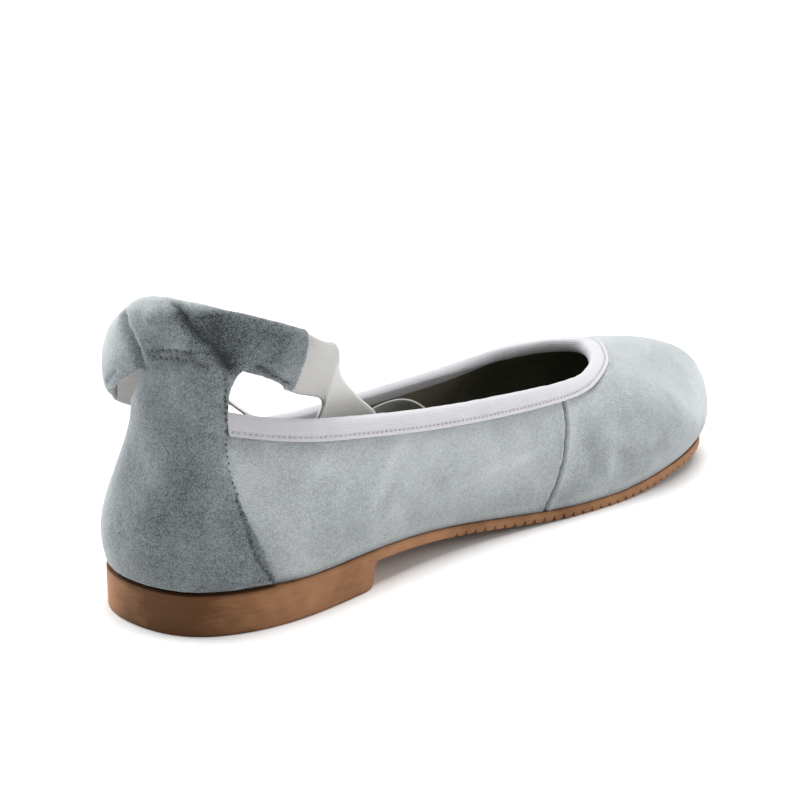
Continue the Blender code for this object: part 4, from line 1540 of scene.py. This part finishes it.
        # Painted light: lighter along the top of the sleeve.
        painted_top_light = 0.62 * ease(84.5, 88.5, points[:, 2] - 0.16 * (points[:, 1] - 14))
        tone += shaded(points, TAB_SHADES) + painted_top_light + 0.06 * ripple(points, 22, 61)
        add_attribute(made, "brush", tone)
        mesh.polygons.foreach_set("use_smooth", np.ones(len(mesh.polygons), bool))
        # Painted shade: the holes are dark dashes, not thread.
        dark = Thread("thread_dark", Tone.HOLE).material()
        sewn = write_mesh("tab_stitches", self.sewn(points, normals), [dark])
        made = self.join(made, "heel_tab", "heel_tab", "ankle_sleeve")
        return [made, self.join(sewn, "heel_tab")]


class Tape(NamedTuple):
    """A place on a strap's centre line, in shares, and the direction of its width."""

    x: float
    y: float
    z: float
    wide_x: float
    wide_y: float
    wide_z: float


STRAP_IN = (
    Tape(0.286, 0.204, 0.913, 0.25, -0.05, 0.96),
    Tape(0.278, 0.223, 0.886, 0.26, -0.10, 0.96),
    Tape(0.238, 0.2455, 0.830, -0.20, 0.54, 0.82),
    Tape(0.184, 0.256, 0.736, -0.22, 0.74, 0.64),
    Tape(0.145, 0.283, 0.636, 0.04, 0.88, 0.47),
    Tape(0.118, 0.315, 0.547, 0.26, 0.90, 0.35),
    Tape(0.112, 0.330, 0.470, 0.25, 0.96, -0.05),
    Tape(0.099, 0.337, 0.365, 0.10, 0.99, 0.00),
    Tape(0.033, 0.341, 0.295, 0.00, 1.00, 0.00),
    Tape(-0.092, 0.345, 0.268, 0.00, 1.00, 0.00),
    Tape(-0.263, 0.347, 0.301, 0.00, 1.00, 0.00),
)
STRAP_OUT = (
    Tape(-0.362, 0.096, 0.830, -0.02, 0.02, 0.99),
    Tape(-0.322, 0.149, 0.775, 0.10, -0.20, 0.95),
    Tape(-0.263, 0.180, 0.734, 0.40, -0.45, 0.75),
    Tape(-0.171, 0.208, 0.671, 0.66, -0.69, 0.29),
    Tape(-0.099, 0.225, 0.600, 0.64, -0.67, 0.36),
    Tape(-0.079, 0.264, 0.479, 0.52, -0.58, 0.63),
    Tape(-0.079, 0.320, 0.428, 0.46, -0.51, 0.73),
    Tape(-0.013, 0.358, 0.470, 0.48, -0.52, 0.71),
    Tape(0.053, 0.388, 0.548, 0.55, -0.58, 0.60),
    Tape(0.086, 0.412, 0.572, 0.60, -0.62, 0.50),
    Tape(0.112, 0.438, 0.542, 0.58, -0.70, 0.42),
    Tape(0.158, 0.458, 0.472, 0.40, -0.85, 0.33),
    Tape(0.224, 0.473, 0.379, 0.15, -0.98, 0.15),
)


@dataclass
class Strap(Piece):
    """One flat elastic strap, sewn into the sleeve and hanging slack in the shoe."""

    node: str
    table: tuple[Tape, ...]
    held: tuple[float, float, float]
    at_start: bool
    back: AnkleBack
    shaded: tuple[float, float] = (0.48, 0.66)
    width: float = 18.0
    thick: float = 1.2

    def path(self, count: int) -> Array:
        """Centre line and width directions, begun inside the sleeve's end."""
        line = self.back.centre_line(27)[:, :3]
        stop, before = (line[0], line[1]) if self.at_start else (line[-1], line[-2])
        out = unit(stop - before)
        start = stop + out * 0.6
        neck = self.last.collar_height + self.back.tab_rise
        rows = np.array(self.table) * [self.last.ball_width, self.last.length, neck, 1, 1, 1]
        rows = np.vstack([np.concatenate([start, self.held]), rows])
        curve = smoothed(open_curve(rows, count)[None], 24)[0]
        hidden = np.concatenate([stop - out * 4.0, self.held])
        return np.vstack([hidden, curve])

    def build(self) -> bpy.types.Object:
        """Makes the tape with rounded edges, darker where it lies in the shoe's shadow."""
        rows = self.path(190)
        centre = rows[:, :3]
        along = unit(np.gradient(centre, axis=0))
        wide = unit(rows[:, 3:6])
        normal = unit(np.cross(along, wide))
        across = np.linspace(-1, 1, 45)
        edge = np.sqrt(np.maximum(1 - np.abs(across) ** 14, 0.05))
        base = centre[None] + wide[None] * (across * self.width / 2)[:, None, None]
        half = (self.thick / 2 * edge)[:, None, None]
        surface = slab(base + normal[None] * half, base - normal[None] * half)
        name = self.node + "_tape"
        elastic = Ribbing(name + "_elastic", Tone.ELASTIC, Tone.ELASTIC_DEEP, 0.72, 0.55, 0.06)
        made = write_mesh(name, surface, [elastic.material()])
        share = np.linspace(0, 1, len(rows))
        shade = 0.75 * ease(*self.shaded, share) + 0.46 * ease(0.24, 0.18, share)
        add_attribute(made, "brush", -np.tile(shade, 2 * len(across)))
        return self.join(made, self.node, self.node)


# ---------------------------------------------------------------- the studio


class Lamp(NamedTuple):
    """A far soft light: where it stands, its light on a face that looks at it, and its width.

    strength is a share of a white face's own light, and angle is in degrees as seen from the shoe.
    """

    name: str
    towards: tuple[float, float, float]
    strength: float
    angle: float


LAMPS = (
    Lamp("top", (-0.1, 0.15, 1.0), 1.2, 50.0),
    Lamp("right", (0.74, 0.70, 0.30), 0.42, 45.0),
    Lamp("left", (-0.90, -0.20, 0.30), 0.75, 45.0),
)


@dataclass
class Studio:
    """White floor, soft lights and the camera at the photograph's place."""

    azimuth: float = 43.700
    elevation: float = 16.799
    distance: float = 600.0
    lens: float = 86.6
    aim: tuple[float, float, float] = (0.0, 120.0, 30.0)
    aside: float = 31.9
    below: float = 25.7
    picture: float = 800.0
    sensor: float = 36.0
    sky: float = 0.34
    floor_half: float = 12.0

    def camera(self) -> None:
        """Sets the camera: round the aim point, then turned so that the point lies off centre."""
        a, e = math.radians(self.azimuth), math.radians(self.elevation)
        back = Vector((math.sin(a) * math.cos(e), -math.cos(a) * math.cos(e), math.sin(e)))
        right = Vector((math.cos(a), math.sin(a), 0.0))
        up = back.cross(right)
        focal = self.lens / self.sensor * self.picture
        ahead = (-back * focal - right * self.aside + up * self.below).normalized()
        turn = (-back).rotation_difference(ahead)
        basis = Matrix((right, up, back)).transposed().to_quaternion()
        data = bpy.data.cameras.new("camera")
        data.lens = self.lens
        data.sensor_width = self.sensor
        data.clip_start, data.clip_end = 0.05, 20.0
        made = linked("camera", data)
        made.location = (Vector(self.aim) - Vector(ORIGIN) + back * self.distance) * MM
        made.rotation_mode = "QUATERNION"
        made.rotation_quaternion = turn @ basis
        bpy.context.scene.camera = made

    def light(self, lamp: Lamp) -> None:
        """Adds a lamp, turned towards the shoe."""
        data = bpy.data.lights.new(lamp.name, "SUN")
        data.energy = lamp.strength * math.pi
        data.angle = math.radians(lamp.angle)
        made = linked(lamp.name, data)
        made.rotation_mode = "QUATERNION"
        made.rotation_quaternion = Vector(lamp.towards).to_track_quat("Z", "Y")

    def build(self) -> None:
        """Makes the floor, the lights and the camera."""
        half = self.floor_half
        corners = [(-half, -half, 0), (half, -half, 0), (half, half, 0), (-half, half, 0)]
        mesh = bpy.data.meshes.new("floor")
        mesh.from_pydata(corners, [], [(0, 1, 2, 3)])
        shader = Shader("floor_paper")
        paper = shader.finish(base_color=Tone.FLOOR.value, roughness=0.9, specular_ior_level=0.0)
        mesh.materials.append(paper)
        linked("floor", mesh)
        world = bpy.data.worlds.new("studio")
        world.use_nodes = True
        background = world.node_tree.nodes["Background"].inputs
        background["Color"].default_value = (1, 1, 1, 1)
        background["Strength"].default_value = self.sky
        bpy.context.scene.world = world
        for lamp in LAMPS:
            self.light(lamp)
        view = bpy.context.scene.view_settings
        view.view_transform = "Standard"
        view.look = "None"
        self.camera()


def main() -> None:
    """Builds every piece in order."""
    logging.basicConfig(level=logging.INFO, format="%(name)s: %(message)s")
    last = Last()
    back = AnkleBack(last)
    Studio().build()
    Sole(last).build()
    Insole(last).build()
    Upper(last).build()
    Binding(last).build()
    back.build()
    Strap(last, "strap_medial", STRAP_IN, (0.21, 0.10, 0.97), True, back).build()
    Strap(last, "strap_lateral", STRAP_OUT, (0.05, 0.05, 0.99), False, back).build()


if __name__ == "__main__":
    main()
